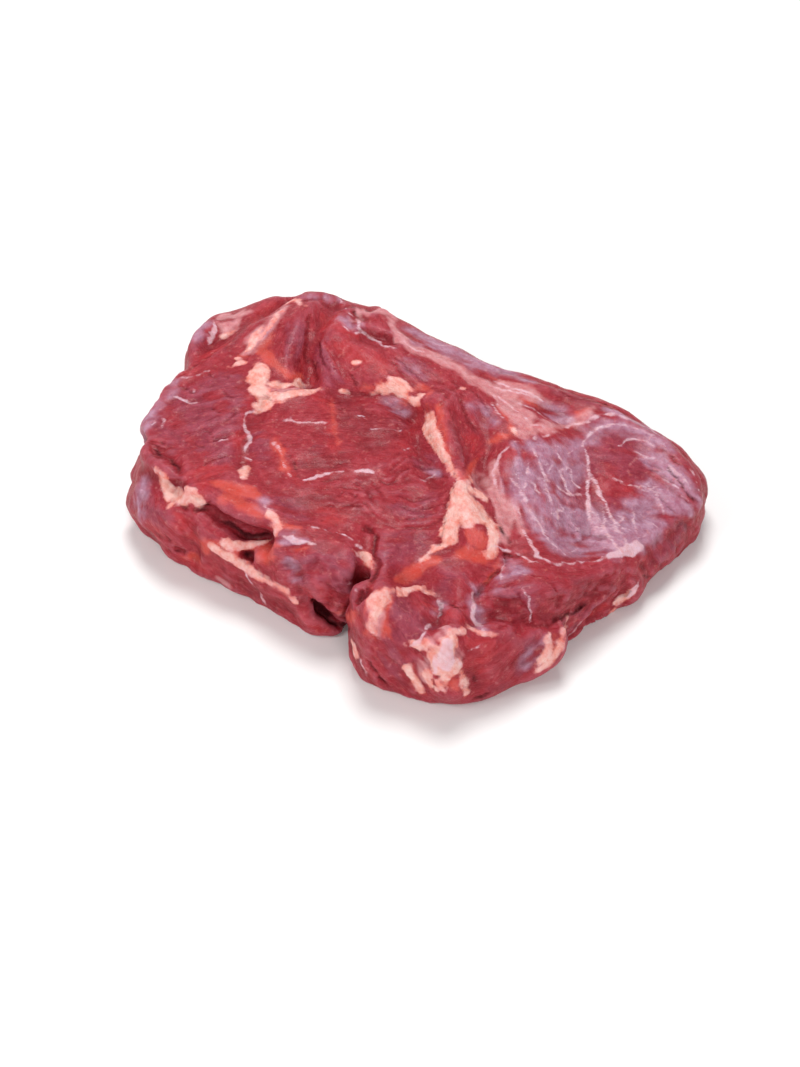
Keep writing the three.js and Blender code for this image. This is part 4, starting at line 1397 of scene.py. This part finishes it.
# %% Wrinkles and relief
WRINKLES = {
    "right 1": [(391, 470, 0.8), (398, 462, 1), (408, 457, 1), (418, 460, 1), (430, 466, 0.8)],
    "right 2": [(393, 479, 0.8), (403, 470, 1), (418, 467, 1), (434, 471, 1), (448, 479, 0.8)],
    "right 3": [(378, 480, 0.8), (388, 483, 1), (398, 478, 1)],
    "right 4": [(400, 497, 0.8), (415, 500, 1), (430, 498, 1), (445, 492, 0.8)],
    "right 5": [(396, 505, 0.8), (412, 509, 1), (430, 508, 1), (444, 503, 0.8)],
    "right 6": [(388, 514, 0.8), (402, 519, 1), (422, 517, 1), (438, 511, 0.8)],
    "left 1": [(336, 494, 0.8), (346, 490, 1), (357, 495, 1), (351, 501, 0.8)],
    "left 2": [(328, 506, 0.8), (345, 505, 1), (360, 508, 0.8)],
    "left 3": [(320, 482, 0.8), (335, 479, 1), (350, 480, 1), (362, 486, 0.8)],
    "left 4": [(340, 486, 0.6), (352, 487, 0.8), (364, 493, 0.6)],
    "fold 1": [(352, 478, 0.8), (361, 484, 1), (367, 493, 1), (371, 502, 1), (379, 508, 0.8)],
    "fold 2": [(370, 478, 0.8), (378, 486, 1), (386, 498, 1), (392, 503, 0.8)],
    "fold 3": [(352, 506, 0.8), (360, 502, 1), (368, 508, 1), (376, 518, 0.8)],
    "upper 1": [(330, 466, 0.6), (345, 462, 0.8), (362, 466, 0.6)],
    "left muscle 1": [(214, 442, 0.8), (224, 436, 1), (232, 432, 0.8)],
    "left muscle 2": [(195, 405, 0.8), (210, 408, 1), (222, 413, 0.8)],
    "left muscle 3": [(200, 428, 0.6), (210, 433, 0.8), (216, 440, 0.6)],
    "left muscle 4": [(176, 425, 0.6), (188, 432, 0.8), (200, 430, 0.6)],
    "slope 1": [(398, 358, 0.8), (408, 370, 1), (420, 380, 1), (432, 385, 0.8)],
    "slope 2": [(390, 358, 0.6), (398, 368, 0.8), (410, 378, 0.6)],
    "flap 1": [(452, 380, 0.8), (460, 390, 1), (466, 404, 0.8)],
    "flap 2": [(470, 388, 0.6), (482, 402, 0.8), (492, 416, 0.6)],
    "hump 1": [(318, 345, 0.6), (325, 358, 0.8), (334, 370, 0.6)],
    "lobe 1": [(664, 486, 0.8), (676, 492, 1), (690, 503, 0.8)],
    "lobe 2": [(660, 498, 0.8), (672, 508, 1), (684, 514, 0.8)],
    "lobe 3": [(575, 528, 0.8), (590, 535, 1), (606, 536, 0.8)],
    "lobe 4": [(565, 522, 0.8), (576, 530, 1), (588, 532, 0.8)],
    "lobe 5": [(648, 470, 0.8), (660, 474, 1), (676, 484, 0.8)],
    "front 1": [(505, 585, 0.8), (515, 592, 1), (520, 602, 0.8)],
    "front 2": [(512, 598, 0.8), (528, 608, 1), (534, 620, 0.8)],
    "front 3": [(530, 575, 0.8), (545, 580, 1), (560, 592, 0.8)],
    "front 4": [(372, 648, 0.6), (385, 655, 0.8), (396, 662, 0.6)],
    "front muscle 1": [(322, 580, 0.6), (332, 588, 0.8), (338, 594, 0.6)],
    "side 1": [(640, 565, 0.6), (650, 572, 0.8)],
    "seam of the cap": [(452, 650, 1), (458, 664, 1), (463, 676, 1)],
    "between the fingers": [(441, 672, 1), (436, 682, 1), (436, 694, 1)],
    "between the lumps": [(262, 392, 1), (270, 400, 1), (256, 398, 0.8)],
    "in the bands": [(272, 391, 0.8), (290, 390, 0.8), (305, 388, 0.6)],
    "right end 1": [(655, 446, 0.8), (664, 450, 1), (674, 458, 1), (682, 466, 0.8)],
    "right end 2": [(667, 467, 0.8), (677, 477, 1), (685, 488, 1.2), (694, 500, 1)],
    "right end 3": [(645, 462, 0.6), (658, 468, 0.8), (668, 476, 0.6)],
    "left muscle 5": [(205, 372, 0.8), (215, 379, 1), (228, 378, 0.8)],
    "left muscle 6": [(222, 391, 0.8), (232, 397, 1), (243, 398, 0.8)],
    "left muscle 7": [(226, 420, 0.8), (235, 413, 1), (246, 408, 0.8)],
    "left muscle 8": [(178, 386, 0.8), (190, 392, 1), (203, 397, 0.8)],
    "left muscle 9": [(180, 440, 0.8), (194, 444, 1), (208, 448, 0.8)],
    "left muscle 10": [(205, 465, 0.6), (216, 458, 0.8), (230, 455, 0.6)],
    "left flap fold": [(364, 658, 1.4), (370, 668, 1.7), (379, 677, 1.7), (390, 686, 1.2)],
}
ROUGH = {
    "wrinkled": [(392, 462, 12), (410, 478, 18), (420, 495, 20), (425, 510, 14)],
    "wrinkled left": [(340, 488, 14), (365, 495, 14)],
    "right end": [(672, 480, 12), (690, 500, 12), (680, 520, 10)],
    "silverskin": [(575, 530, 12), (600, 536, 12)],
    "behind the flap": [(405, 368, 10), (430, 380, 10), (460, 395, 10)],
    "right hump": [(322, 350, 8), (332, 375, 6)],
    "side": [(570, 600, 12), (610, 585, 12), (650, 560, 10)],
    "front": [(500, 600, 16), (530, 600, 14)],
    "left foot": [(190, 560, 8), (165, 540, 8)],
    "front muscle": [(325, 575, 8), (340, 590, 8)],
    "left muscle": [(190, 400, 20), (215, 420, 22), (230, 440, 16)],
}
SMOOTH_SHARE = 0.25
ROUGH_SOFT_MM = 10.0
WRINKLE_SOFT_MM = 1.6
FAT_CALM = 0.7
DARK_SINK_MM = 0.5
WRINKLE_SHADE = 0.35
FAT_RISE_MM = 0.35
STRAND_AND_GLINT_RISE_MM = 0.25
WRINKLE_MM = 1.1
LUMP_MM = 0.35
LUMP_SIZE_MM = 9.0
LUMP_SEED = 4
SMALL_LUMP_MM = 0.14
SMALL_LUMP_SIZE_MM = 3.6
SMALL_LUMP_SEED = 5
FINE_FIBRE_MM = 0.14
COARSE_FIBRE_MM = 0.2


def relief():
    """How far every vertex moves out of the meat, in millimetres."""
    fat = eased(coat["fat"])
    wrinkles = eased(mask(skin, spots, WRINKLES, WRINKLE_SOFT_MM, TAPER))
    rough = SMOOTH_SHARE + (1 - SMOOTH_SHARE) * eased(mask(skin, spots, ROUGH, ROUGH_SOFT_MM))
    lean = rough * (1 - FAT_CALM * fat)
    rise = FAT_RISE_MM * fat + STRAND_AND_GLINT_RISE_MM * coat["strand_and_glint"] - WRINKLE_MM * wrinkles
    rise += LUMP_MM * noise_at(skin.spots, LUMP_SIZE_MM, LUMP_SEED)
    rise += SMALL_LUMP_MM * noise_at(skin.spots, SMALL_LUMP_SIZE_MM, SMALL_LUMP_SEED)
    rise += lean * (FINE_FIBRE_MM * fine + COARSE_FIBRE_MM * coarse)
    rise -= DARK_SINK_MM * coat["dark"]
    return rise * foot_fade(skin.spots), wrinkles


rise, wrinkles = relief()
skin.move(rise)
# The grooves of the wrinkles also get painted shade.
coat["dark"] = np.maximum(coat["dark"], WRINKLE_SHADE * wrinkles)
print("relief from", rise.min().round(2), "to", rise.max().round(2), "mm")

# %% [markdown]
# ## Crests and hollows
# Crests are painted paler and bluer, a painted highlight where they would catch the light, and hollows are
# painted a deeper red, painted shade. How far each vertex stands over the mean of those round it says which
# of the two it is.

# %% Measure crests, then store every mask on the mesh
CREST_ROUNDS = 5
FIBRE_SHARE = 0.6


def crests():
    """Above 0 on crests and below 0 in hollows."""
    round_it = [blur(skin.spots[:, axis], pairs, even, CREST_ROUNDS) for axis in range(3)]
    return levelled(((skin.spots - np.stack(round_it, axis=1)) * skin.facing).sum(axis=1))


coat["crest"] = crests()
coat["fibre"] = FIBRE_SHARE * fine + FIBRE_SHARE * coarse


def store(mesh):
    """Writes every mask to the mesh, where the material reads it by name."""
    for tissue, values in coat.items():
        attribute = mesh.attributes.new(tissue, "FLOAT", "POINT")
        attribute.data.foreach_set("value", values.astype(np.float32))


store(meat.data)
meat.data.polygons.foreach_set("use_smooth", [True] * len(meat.data.polygons))
print("masks:", ", ".join(coat))

# %% [markdown]
# ## Helpers for materials
# Nodes are added in code, one call for each, with its inputs either set to a value or linked to another
# node's output. Colours are written as a painter would read them off a screen, from 0 to 255, and turned
# into the linear values that Blender works with.

# %% Node helpers
def tint(red, green, blue):
    """A screen colour as Blender's linear one."""
    linear = []
    for part in (red, green, blue):
        share = part / 255
        linear.append(share / 12.92 if share <= 0.04045 else ((share + 0.055) / 1.055) ** 2.4)
    return (*linear, 1.0)


MIX_SHARE = 0
MIX_COLOURS = (6, 7)
MIX_RESULT = 2


def feed(tree, node, inputs):
    """Gives a node its inputs, each a value or another node's output."""
    for socket, value in inputs.items():
        if isinstance(value, bpy.types.NodeSocket):
            tree.links.new(value, node.inputs[socket])
        else:
            node.inputs[socket].default_value = value


def add(tree, kind, inputs, **settings):
    """A new node with its settings and inputs."""
    made = tree.nodes.new(kind)
    for name, value in settings.items():
        setattr(made, name, value)
    feed(tree, made, inputs)
    return made


def mixed(tree, share, under, over):
    """The colour that a share of one colour over another gives."""
    inputs = {MIX_SHARE: share, MIX_COLOURS[0]: under, MIX_COLOURS[1]: over}
    return add(tree, "ShaderNodeMix", inputs, data_type="RGBA").outputs[MIX_RESULT]


def math_of(tree, operation, *values, clamped=False):
    """The result of one sum, kept between 0 and 1 where that is asked for."""
    inputs = dict(enumerate(values))
    return add(tree, "ShaderNodeMath", inputs, operation=operation, use_clamp=clamped).outputs[0]


def noise_of(tree, scale, detail, roughness, **settings):
    """A noise node over the object's own coordinates, with a middle of about 0.5."""
    where = add(tree, "ShaderNodeTexCoord", {}).outputs["Object"]
    inputs = {"Vector": where, "Scale": scale, "Detail": detail, "Roughness": roughness}
    return add(tree, "ShaderNodeTexNoise", inputs, **settings)


def contrasted(tree, value, contrast):
    """A value pulled away from 0.5 and kept between 0 and 1."""
    centred = math_of(tree, "SUBTRACT", value, 0.5)
    stretched = math_of(tree, "MULTIPLY", centred, contrast)
    return math_of(tree, "ADD", stretched, 0.5, clamped=True)


def mask_of(tree, tissue):
    """A mask that was stored on the mesh."""
    return add(tree, "ShaderNodeAttribute", {}, attribute_name=tissue).outputs["Fac"]


def new_group(name, inputs, outputs):
    """An empty node group with named inputs and outputs."""
    group = bpy.data.node_groups.new(name, "ShaderNodeTree")
    for label, kind, value in inputs:
        socket = group.interface.new_socket(label, in_out="INPUT", socket_type=kind)
        socket.default_value = value
    for label, kind in outputs:
        group.interface.new_socket(label, in_out="OUTPUT", socket_type=kind)
    start = group.nodes.new("NodeGroupInput")
    end = group.nodes.new("NodeGroupOutput")
    return group, start.outputs, end.inputs


def use_group(tree, group, inputs):
    """A group placed in a material, with its own values."""
    made = tree.nodes.new("ShaderNodeGroup")
    made.node_tree = group
    feed(tree, made, inputs)
    return made.outputs


FLOAT = "NodeSocketFloat"
COLOUR = "NodeSocketColor"
print("a middle grey is", round(tint(128, 128, 128)[0], 3))

# %% [markdown]
# ## Ragged edges
# The masks are soft ramps from 1 to 0. Tissue has a crisp but uneven edge, so a noise is added to the ramp
# and the sum is cut at a threshold. Every tissue uses this, each with its own grain, so it is one group
# of nodes with named sockets.

# %% The ragged edge group
def ragged_group():
    """Cuts a soft mask into a crisp, uneven one."""
    inputs = [
        ("Mask", FLOAT, 0.0),
        ("Scale", FLOAT, 900.0),
        ("Ragged", FLOAT, 0.3),
        ("Edge", FLOAT, 0.5),
        ("Softness", FLOAT, 0.1),
    ]
    group, given, result = new_group("ragged edge", inputs, [("Mask", FLOAT)])
    speck = noise_of(group, given["Scale"], detail=3.0, roughness=0.6).outputs["Fac"]
    centred = math_of(group, "SUBTRACT", speck, 0.5)
    shift = math_of(group, "MULTIPLY", centred, given["Ragged"])
    moved = math_of(group, "ADD", given["Mask"], shift)
    low = math_of(group, "SUBTRACT", given["Edge"], given["Softness"])
    high = math_of(group, "ADD", given["Edge"], given["Softness"])
    ramp = {"Value": moved, "From Min": low, "From Max": high}
    cut = add(group, "ShaderNodeMapRange", ramp, interpolation_type="SMOOTHSTEP")
    group.links.new(cut.outputs["Result"], result["Mask"])
    return group


ragged_edge = ragged_group()
print("group:", ragged_edge.name)

# %% [markdown]
# ## Mottling
# No tissue is one colour. A second group wavers between two shades with patches and specks of two sizes.

# %% The mottling group
def mottle_group():
    """Wavers between two shades."""
    inputs = [
        ("Shade", COLOUR, (0.5, 0.5, 0.5, 1)),
        ("Other shade", COLOUR, (0.4, 0.4, 0.4, 1)),
        ("Scale", FLOAT, 120.0),
        ("Contrast", FLOAT, 2.0),
    ]
    group, given, result = new_group("mottle", inputs, [("Colour", COLOUR), ("Value", FLOAT)])
    patches = noise_of(group, given["Scale"], detail=5.0, roughness=0.65).outputs["Fac"]
    share = contrasted(group, patches, given["Contrast"])
    colour = mixed(group, share, given["Shade"], given["Other shade"])
    group.links.new(colour, result["Colour"])
    group.links.new(share, result["Value"])
    return group


mottle = mottle_group()
print("group:", mottle.name)

# %% [markdown]
# ## Fibre lines
# The combed streaks are as wide as the squares of the mesh, and real fibres are finer. Noise that is read
# along the streak's own value, and not along a place, changes fast across a fibre and slowly along it, so it
# draws thin lines that follow the meat's grain. They serve as colour and as fine relief.

# %% The fibre line group
def fibre_line_group():
    """Thin lines along the grain, from a combed streak value."""
    inputs = [
        ("Streak", FLOAT, 0.0),
        ("Scale", FLOAT, 260.0),
        ("Lines", FLOAT, 2.2),
        ("Contrast", FLOAT, 2.2),
    ]
    group, given, result = new_group("fibre lines", inputs, [("Value", FLOAT)])
    turns = math_of(group, "MULTIPLY", given["Streak"], given["Lines"])
    lines = noise_of(group, given["Scale"], detail=2.0, roughness=0.5, noise_dimensions="4D")
    feed(group, lines, {"W": math_of(group, "DIVIDE", turns, given["Scale"])})
    value = contrasted(group, lines.outputs["Fac"], given["Contrast"])
    group.links.new(value, result["Value"])
    return group


fibre_lines = fibre_line_group()
print("group:", fibre_lines.name)

# %% [markdown]
# ## Raw meat
# One material covers the whole piece, since the tissues run into each other. It starts from lean, darker in
# the hollows with painted shade and streaked by its fibres, and lays the other tissues over it in the order
# in which they lie on the meat: tones first, then orange-red, pink fat, silverskin with painted sheen, cream
# fat and white strands with painted glints. Crests get a painted highlight, and crevices painted shade and
# blood.
# Fresh meat is wet, which a thin clear coat over a rougher body gives. A little light goes in and comes
# back red, which is subsurface scattering.

# %% The palette
LEAN = tint(168, 46, 56)
LEAN_DEEP = tint(136, 28, 38)
LEAN_PALE = tint(190, 84, 92)
# Crimson of deep meat, also painted shade in recesses.
CRIMSON_LEAN_AND_SHADE = tint(118, 14, 26)
BRIGHT_LEAN = tint(186, 46, 48)
MAUVE_LEAN = tint(150, 66, 84)
MAUVE_DEEP = tint(122, 42, 60)
ORANGE_RED = tint(206, 72, 58)
ORANGE_PALE = tint(228, 116, 96)
ORANGE_MID = tint(204, 86, 76)
PINK_FAT = tint(222, 162, 164)
PINK_FAT_DEEP = tint(198, 116, 120)
# Lavender of the film, also painted sheen on wet lean.
FILM_AND_SHEEN = tint(196, 162, 184)
FILM_AND_SHEEN_DEEP = tint(158, 108, 132)
CREAM = tint(236, 194, 184)
CREAM_WARM = tint(224, 136, 122)
# White of the strands, also painted glints.
WHITE_STRAND_AND_GLINT = tint(228, 206, 220)
# Blood with painted shade, for the crevices.
BLOOD_AND_SHADE = tint(42, 4, 8)
# Painted highlight of the crests.
CREST_PAINTED_HIGHLIGHT = tint(206, 140, 158)
# Painted shade of the hollows, also the dark grain between the fibre lines.
HOLLOW_SHADE_AND_GRAIN = tint(84, 8, 16)
print("lean", [round(part, 3) for part in LEAN[:3]])

# %% The material
COAT_ROUGHNESS = 0.22
WETNESS = 0.18
SHINE = 0.08
SUBSURFACE = 0.06
SUBSURFACE_SCALE = 0.002
ROUGHNESS = 0.34
PATCHY_ROUGHNESS = 0.16
FAT_ROUGHNESS = 0.08
DARK_ROUGHNESS = 0.9
MICRO_BUMP_M = 0.0005
BUMP_STRENGTH = 0.7
LINE_HEIGHT = 0.8
PALE_LINES = 0.4
DEEP_LINES = 0.25
# How much painted highlight the crests get and how much painted shade the hollows get.
CREST_HIGHLIGHT_SHARE = 0.08
HOLLOW_SHADE_SHARE = 0.18
# How much the blood and painted shade cover the crevices.
BLOOD_AND_SHADE_SHARE = 0.9
LEAN_SHADES = {"Shade": LEAN, "Other shade": LEAN_DEEP, "Scale": 160.0, "Contrast": 1.4}
MAUVE_SHADES = {"Shade": MAUVE_LEAN, "Other shade": MAUVE_DEEP, "Scale": 260.0, "Contrast": 2.6}
WET_PATCHES = {"Scale": 800.0, "Contrast": 1.8}
TONE_EDGE = {"Ragged": 0.5, "Scale": 300.0, "Softness": 0.45}
TONE_SHARES = {"bright": 0.55, "crimson_and_shade": 0.62, "mauve": 0.7}
DARK_EDGE = {"Ragged": 0.4, "Scale": 700.0, "Edge": 0.55, "Softness": 0.45}


def shaped(tree, tissue, edge):
    """The mask of one tissue, with its own ragged edge."""
    return use_group(tree, ragged_edge, {"Mask": mask_of(tree, tissue), **edge})["Mask"]


def toned(tree, under, tone, other):
    """A tone of the lean, laid over what is under it with a soft uneven edge."""
    share = math_of(tree, "MULTIPLY", shaped(tree, tone, TONE_EDGE), TONE_SHARES[tone])
    return mixed(tree, share, under, other)


def lean_colour(tree, lines):
    """Lean, streaked by its fibres, with its tones."""
    colour = use_group(tree, mottle, LEAN_SHADES)["Colour"]
    colour = toned(tree, colour, "bright", BRIGHT_LEAN)
    colour = toned(tree, colour, "crimson_and_shade", CRIMSON_LEAN_AND_SHADE)
    colour = toned(tree, colour, "mauve", use_group(tree, mottle, MAUVE_SHADES)["Colour"])
    pale = math_of(tree, "MULTIPLY", math_of(tree, "POWER", lines, 2.0), PALE_LINES)
    colour = mixed(tree, pale, colour, LEAN_PALE)
    between = math_of(tree, "SUBTRACT", 1.0, lines)
    deep = math_of(tree, "MULTIPLY", math_of(tree, "POWER", between, 2.0), DEEP_LINES)
    return mixed(tree, deep, colour, HOLLOW_SHADE_AND_GRAIN)


def laid_over(tree, under, tissue, edge, shades, share):
    """One tissue laid over what is under it."""
    shape = shaped(tree, tissue, edge)
    colour = use_group(tree, mottle, shades)["Colour"]
    strength = math_of(tree, "MULTIPLY", shape, share)
    return mixed(tree, strength, under, colour), shape


# Each row has the tissue, its edge, its shades and how much it hides of what is under it.
OVERLAYS = (
    ("blush", {"Ragged": 0.55, "Scale": 420.0, "Softness": 0.4},
     {"Shade": ORANGE_RED, "Other shade": ORANGE_MID, "Scale": 240.0, "Contrast": 3.0}, 0.8),
    ("pink", {"Ragged": 0.6, "Scale": 260.0, "Softness": 0.4},
     {"Shade": PINK_FAT, "Other shade": PINK_FAT_DEEP, "Scale": 260.0, "Contrast": 3.2}, 0.82),
    ("silver_and_sheen", {"Ragged": 0.4, "Scale": 220.0, "Edge": 0.42, "Softness": 0.48},
     {"Shade": FILM_AND_SHEEN, "Other shade": FILM_AND_SHEEN_DEEP, "Scale": 260.0, "Contrast": 3.0}, 0.68),
    ("fat", {"Ragged": 0.8, "Scale": 380.0, "Edge": 0.22, "Softness": 0.2},
     {"Shade": PINK_FAT, "Other shade": ORANGE_PALE, "Scale": 260.0, "Contrast": 3.0}, 0.8),
    ("fat", {"Ragged": 0.9, "Scale": 420.0, "Edge": 0.5, "Softness": 0.35},
     {"Shade": CREAM, "Other shade": CREAM_WARM, "Scale": 260.0, "Contrast": 3.0}, 0.95),
    ("strand_and_glint", {"Ragged": 0.6, "Scale": 450.0, "Edge": 0.58, "Softness": 0.22},
     {"Shade": WHITE_STRAND_AND_GLINT, "Other shade": PINK_FAT, "Scale": 400.0}, 0.75),
)


def skin_height(tree, lines):
    """Fine pores and fibre lines, as a height between 0 and 1."""
    pores = noise_of(tree, scale=900.0, detail=4.0, roughness=0.6).outputs["Fac"]
    return math_of(tree, "MULTIPLY_ADD", lines, LINE_HEIGHT, pores)


def wet_surface(tree, surface, lines, fat, dark):
    """Wet meat shines in patches, fat less, and the dark of a crevice hardly at all."""
    patchy = use_group(tree, mottle, WET_PATCHES)["Value"]
    rough = math_of(tree, "MULTIPLY_ADD", patchy, PATCHY_ROUGHNESS, ROUGHNESS)
    rough = math_of(tree, "MULTIPLY_ADD", fat, FAT_ROUGHNESS, rough)
    rough = math_of(tree, "MAXIMUM", rough, math_of(tree, "MULTIPLY", dark, DARK_ROUGHNESS))
    tree.links.new(rough, surface.inputs["Roughness"])
    wet = math_of(tree, "MULTIPLY", patchy, WETNESS)
    dry = math_of(tree, "SUBTRACT", 1.0, dark)
    tree.links.new(math_of(tree, "MULTIPLY", wet, dry), surface.inputs["Coat Weight"])
    surface.inputs["Coat Roughness"].default_value = COAT_ROUGHNESS
    surface.inputs["Specular IOR Level"].default_value = SHINE
    surface.inputs["Subsurface Weight"].default_value = SUBSURFACE
    surface.inputs["Subsurface Scale"].default_value = SUBSURFACE_SCALE
    height = {"Height": skin_height(tree, lines), "Strength": BUMP_STRENGTH, "Distance": MICRO_BUMP_M}
    bump = add(tree, "ShaderNodeBump", height)
    tree.links.new(bump.outputs["Normal"], surface.inputs["Normal"])


def raw_meat():
    """The material of the whole piece."""
    material = bpy.data.materials.new("raw beef")
    material.use_nodes = True
    tree = material.node_tree
    surface = tree.nodes["Principled BSDF"]
    lines = use_group(tree, fibre_lines, {"Streak": mask_of(tree, "fibre")})["Value"]
    colour = lean_colour(tree, lines)
    for tissue, edge, shades, share in OVERLAYS:
        colour, shape = laid_over(tree, colour, tissue, edge, shades, share)
        if tissue == "fat":
            fat = shape
    crest = mask_of(tree, "crest")
    # Painted highlight on the crests, then painted shade in the hollows.
    colour = mixed(tree, math_of(tree, "MULTIPLY", crest, CREST_HIGHLIGHT_SHARE, clamped=True), colour, CREST_PAINTED_HIGHLIGHT)
    colour = mixed(tree, math_of(tree, "MULTIPLY", crest, -HOLLOW_SHADE_SHARE, clamped=True), colour, HOLLOW_SHADE_AND_GRAIN)
    # Painted shade and blood in crevices, pits, grooves and along the board.
    dark = shaped(tree, "dark", DARK_EDGE)
    colour = mixed(tree, math_of(tree, "MULTIPLY", dark, BLOOD_AND_SHADE_SHARE), colour, BLOOD_AND_SHADE)
    tree.links.new(colour, surface.inputs["Base Color"])
    wet_surface(tree, surface, lines, fat, dark)
    return material


meat.data.materials.clear()
meat.data.materials.append(raw_meat())
print("material:", meat.data.materials[0].name)

# %% [markdown]
# ## Floor and light
# The floor is plain and pale. The photograph was lit by large soft lamps, with hardly a shadow, so pale
# walls give much of the light. Three wide lamps, one over the back and two in front, give the shine and
# the soft shadow under the meat.

# %% Floor, sky and lamps
FLOOR_M = 6.0
WALL_TOP = 0.1
CEILING = 0.6
WALL_STRENGTH = 0.95
CEILING_STRENGTH = 0.3
LAMPS_AIM_M = (0, 0, 0.03)
# Each row has the lamp's name, its place and width in metres, and its watts.
LAMPS = (
    ("over the back", (-0.35, 0.45, 1.4), 0.6, 17),
    ("front right", (1.1, -1.1, 0.8), 0.9, 10),
    ("front left", (-0.5, -1.1, 1.2), 0.5, 7),
)


def make_floor():
    """A plain pale floor, which isn't part of the object."""
    form = bmesh.new()
    bmesh.ops.create_grid(form, x_segments=1, y_segments=1, size=FLOOR_M / 2)
    mesh = bpy.data.meshes.new("floor")
    form.to_mesh(mesh)
    form.free()
    floor = bpy.data.objects.new("floor", mesh)
    bpy.context.scene.collection.objects.link(floor)
    material = bpy.data.materials.new("pale floor")
    material.use_nodes = True
    surface = material.node_tree.nodes["Principled BSDF"]
    surface.inputs["Base Color"].default_value = tint(244, 243, 241)
    surface.inputs["Roughness"].default_value = 0.9
    mesh.materials.append(material)
    return floor


def make_sky():
    """Pale walls low down all round, under a dimmer ceiling."""
    world = bpy.data.worlds.new("pale room")
    world.use_nodes = True
    tree = world.node_tree
    ways = add(tree, "ShaderNodeTexCoord", {}).outputs["Generated"]
    height = add(tree, "ShaderNodeSeparateXYZ", {"Vector": ways}).outputs["Z"]
    ramp = {
        "Value": height,
        "From Min": WALL_TOP,
        "From Max": CEILING,
        "To Min": WALL_STRENGTH,
        "To Max": CEILING_STRENGTH,
    }
    strength = add(tree, "ShaderNodeMapRange", ramp, interpolation_type="SMOOTHSTEP")
    sky = tree.nodes["Background"]
    sky.inputs["Color"].default_value = tint(250, 250, 255)
    tree.links.new(strength.outputs["Result"], sky.inputs["Strength"])
    bpy.context.scene.world = world


def make_lamp(name, place_m, size_m, watts):
    """A soft square lamp that points at the middle of the meat."""
    data = bpy.data.lights.new(name, "AREA")
    data.shape = "SQUARE"
    data.size = size_m
    data.energy = watts
    lamp = bpy.data.objects.new(name, data)
    bpy.context.scene.collection.objects.link(lamp)
    lamp.location = place_m
    away = Vector(place_m) - Vector(LAMPS_AIM_M)
    lamp.rotation_mode = "QUATERNION"
    lamp.rotation_quaternion = away.to_track_quat("Z", "Y")
    return lamp


make_floor()
make_sky()
for lamp in LAMPS:
    make_lamp(*lamp)
bpy.context.scene.view_settings.view_transform = "Standard"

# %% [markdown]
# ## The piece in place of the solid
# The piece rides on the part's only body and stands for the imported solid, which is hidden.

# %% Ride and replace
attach(meat, "root")
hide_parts("beef_chuck")
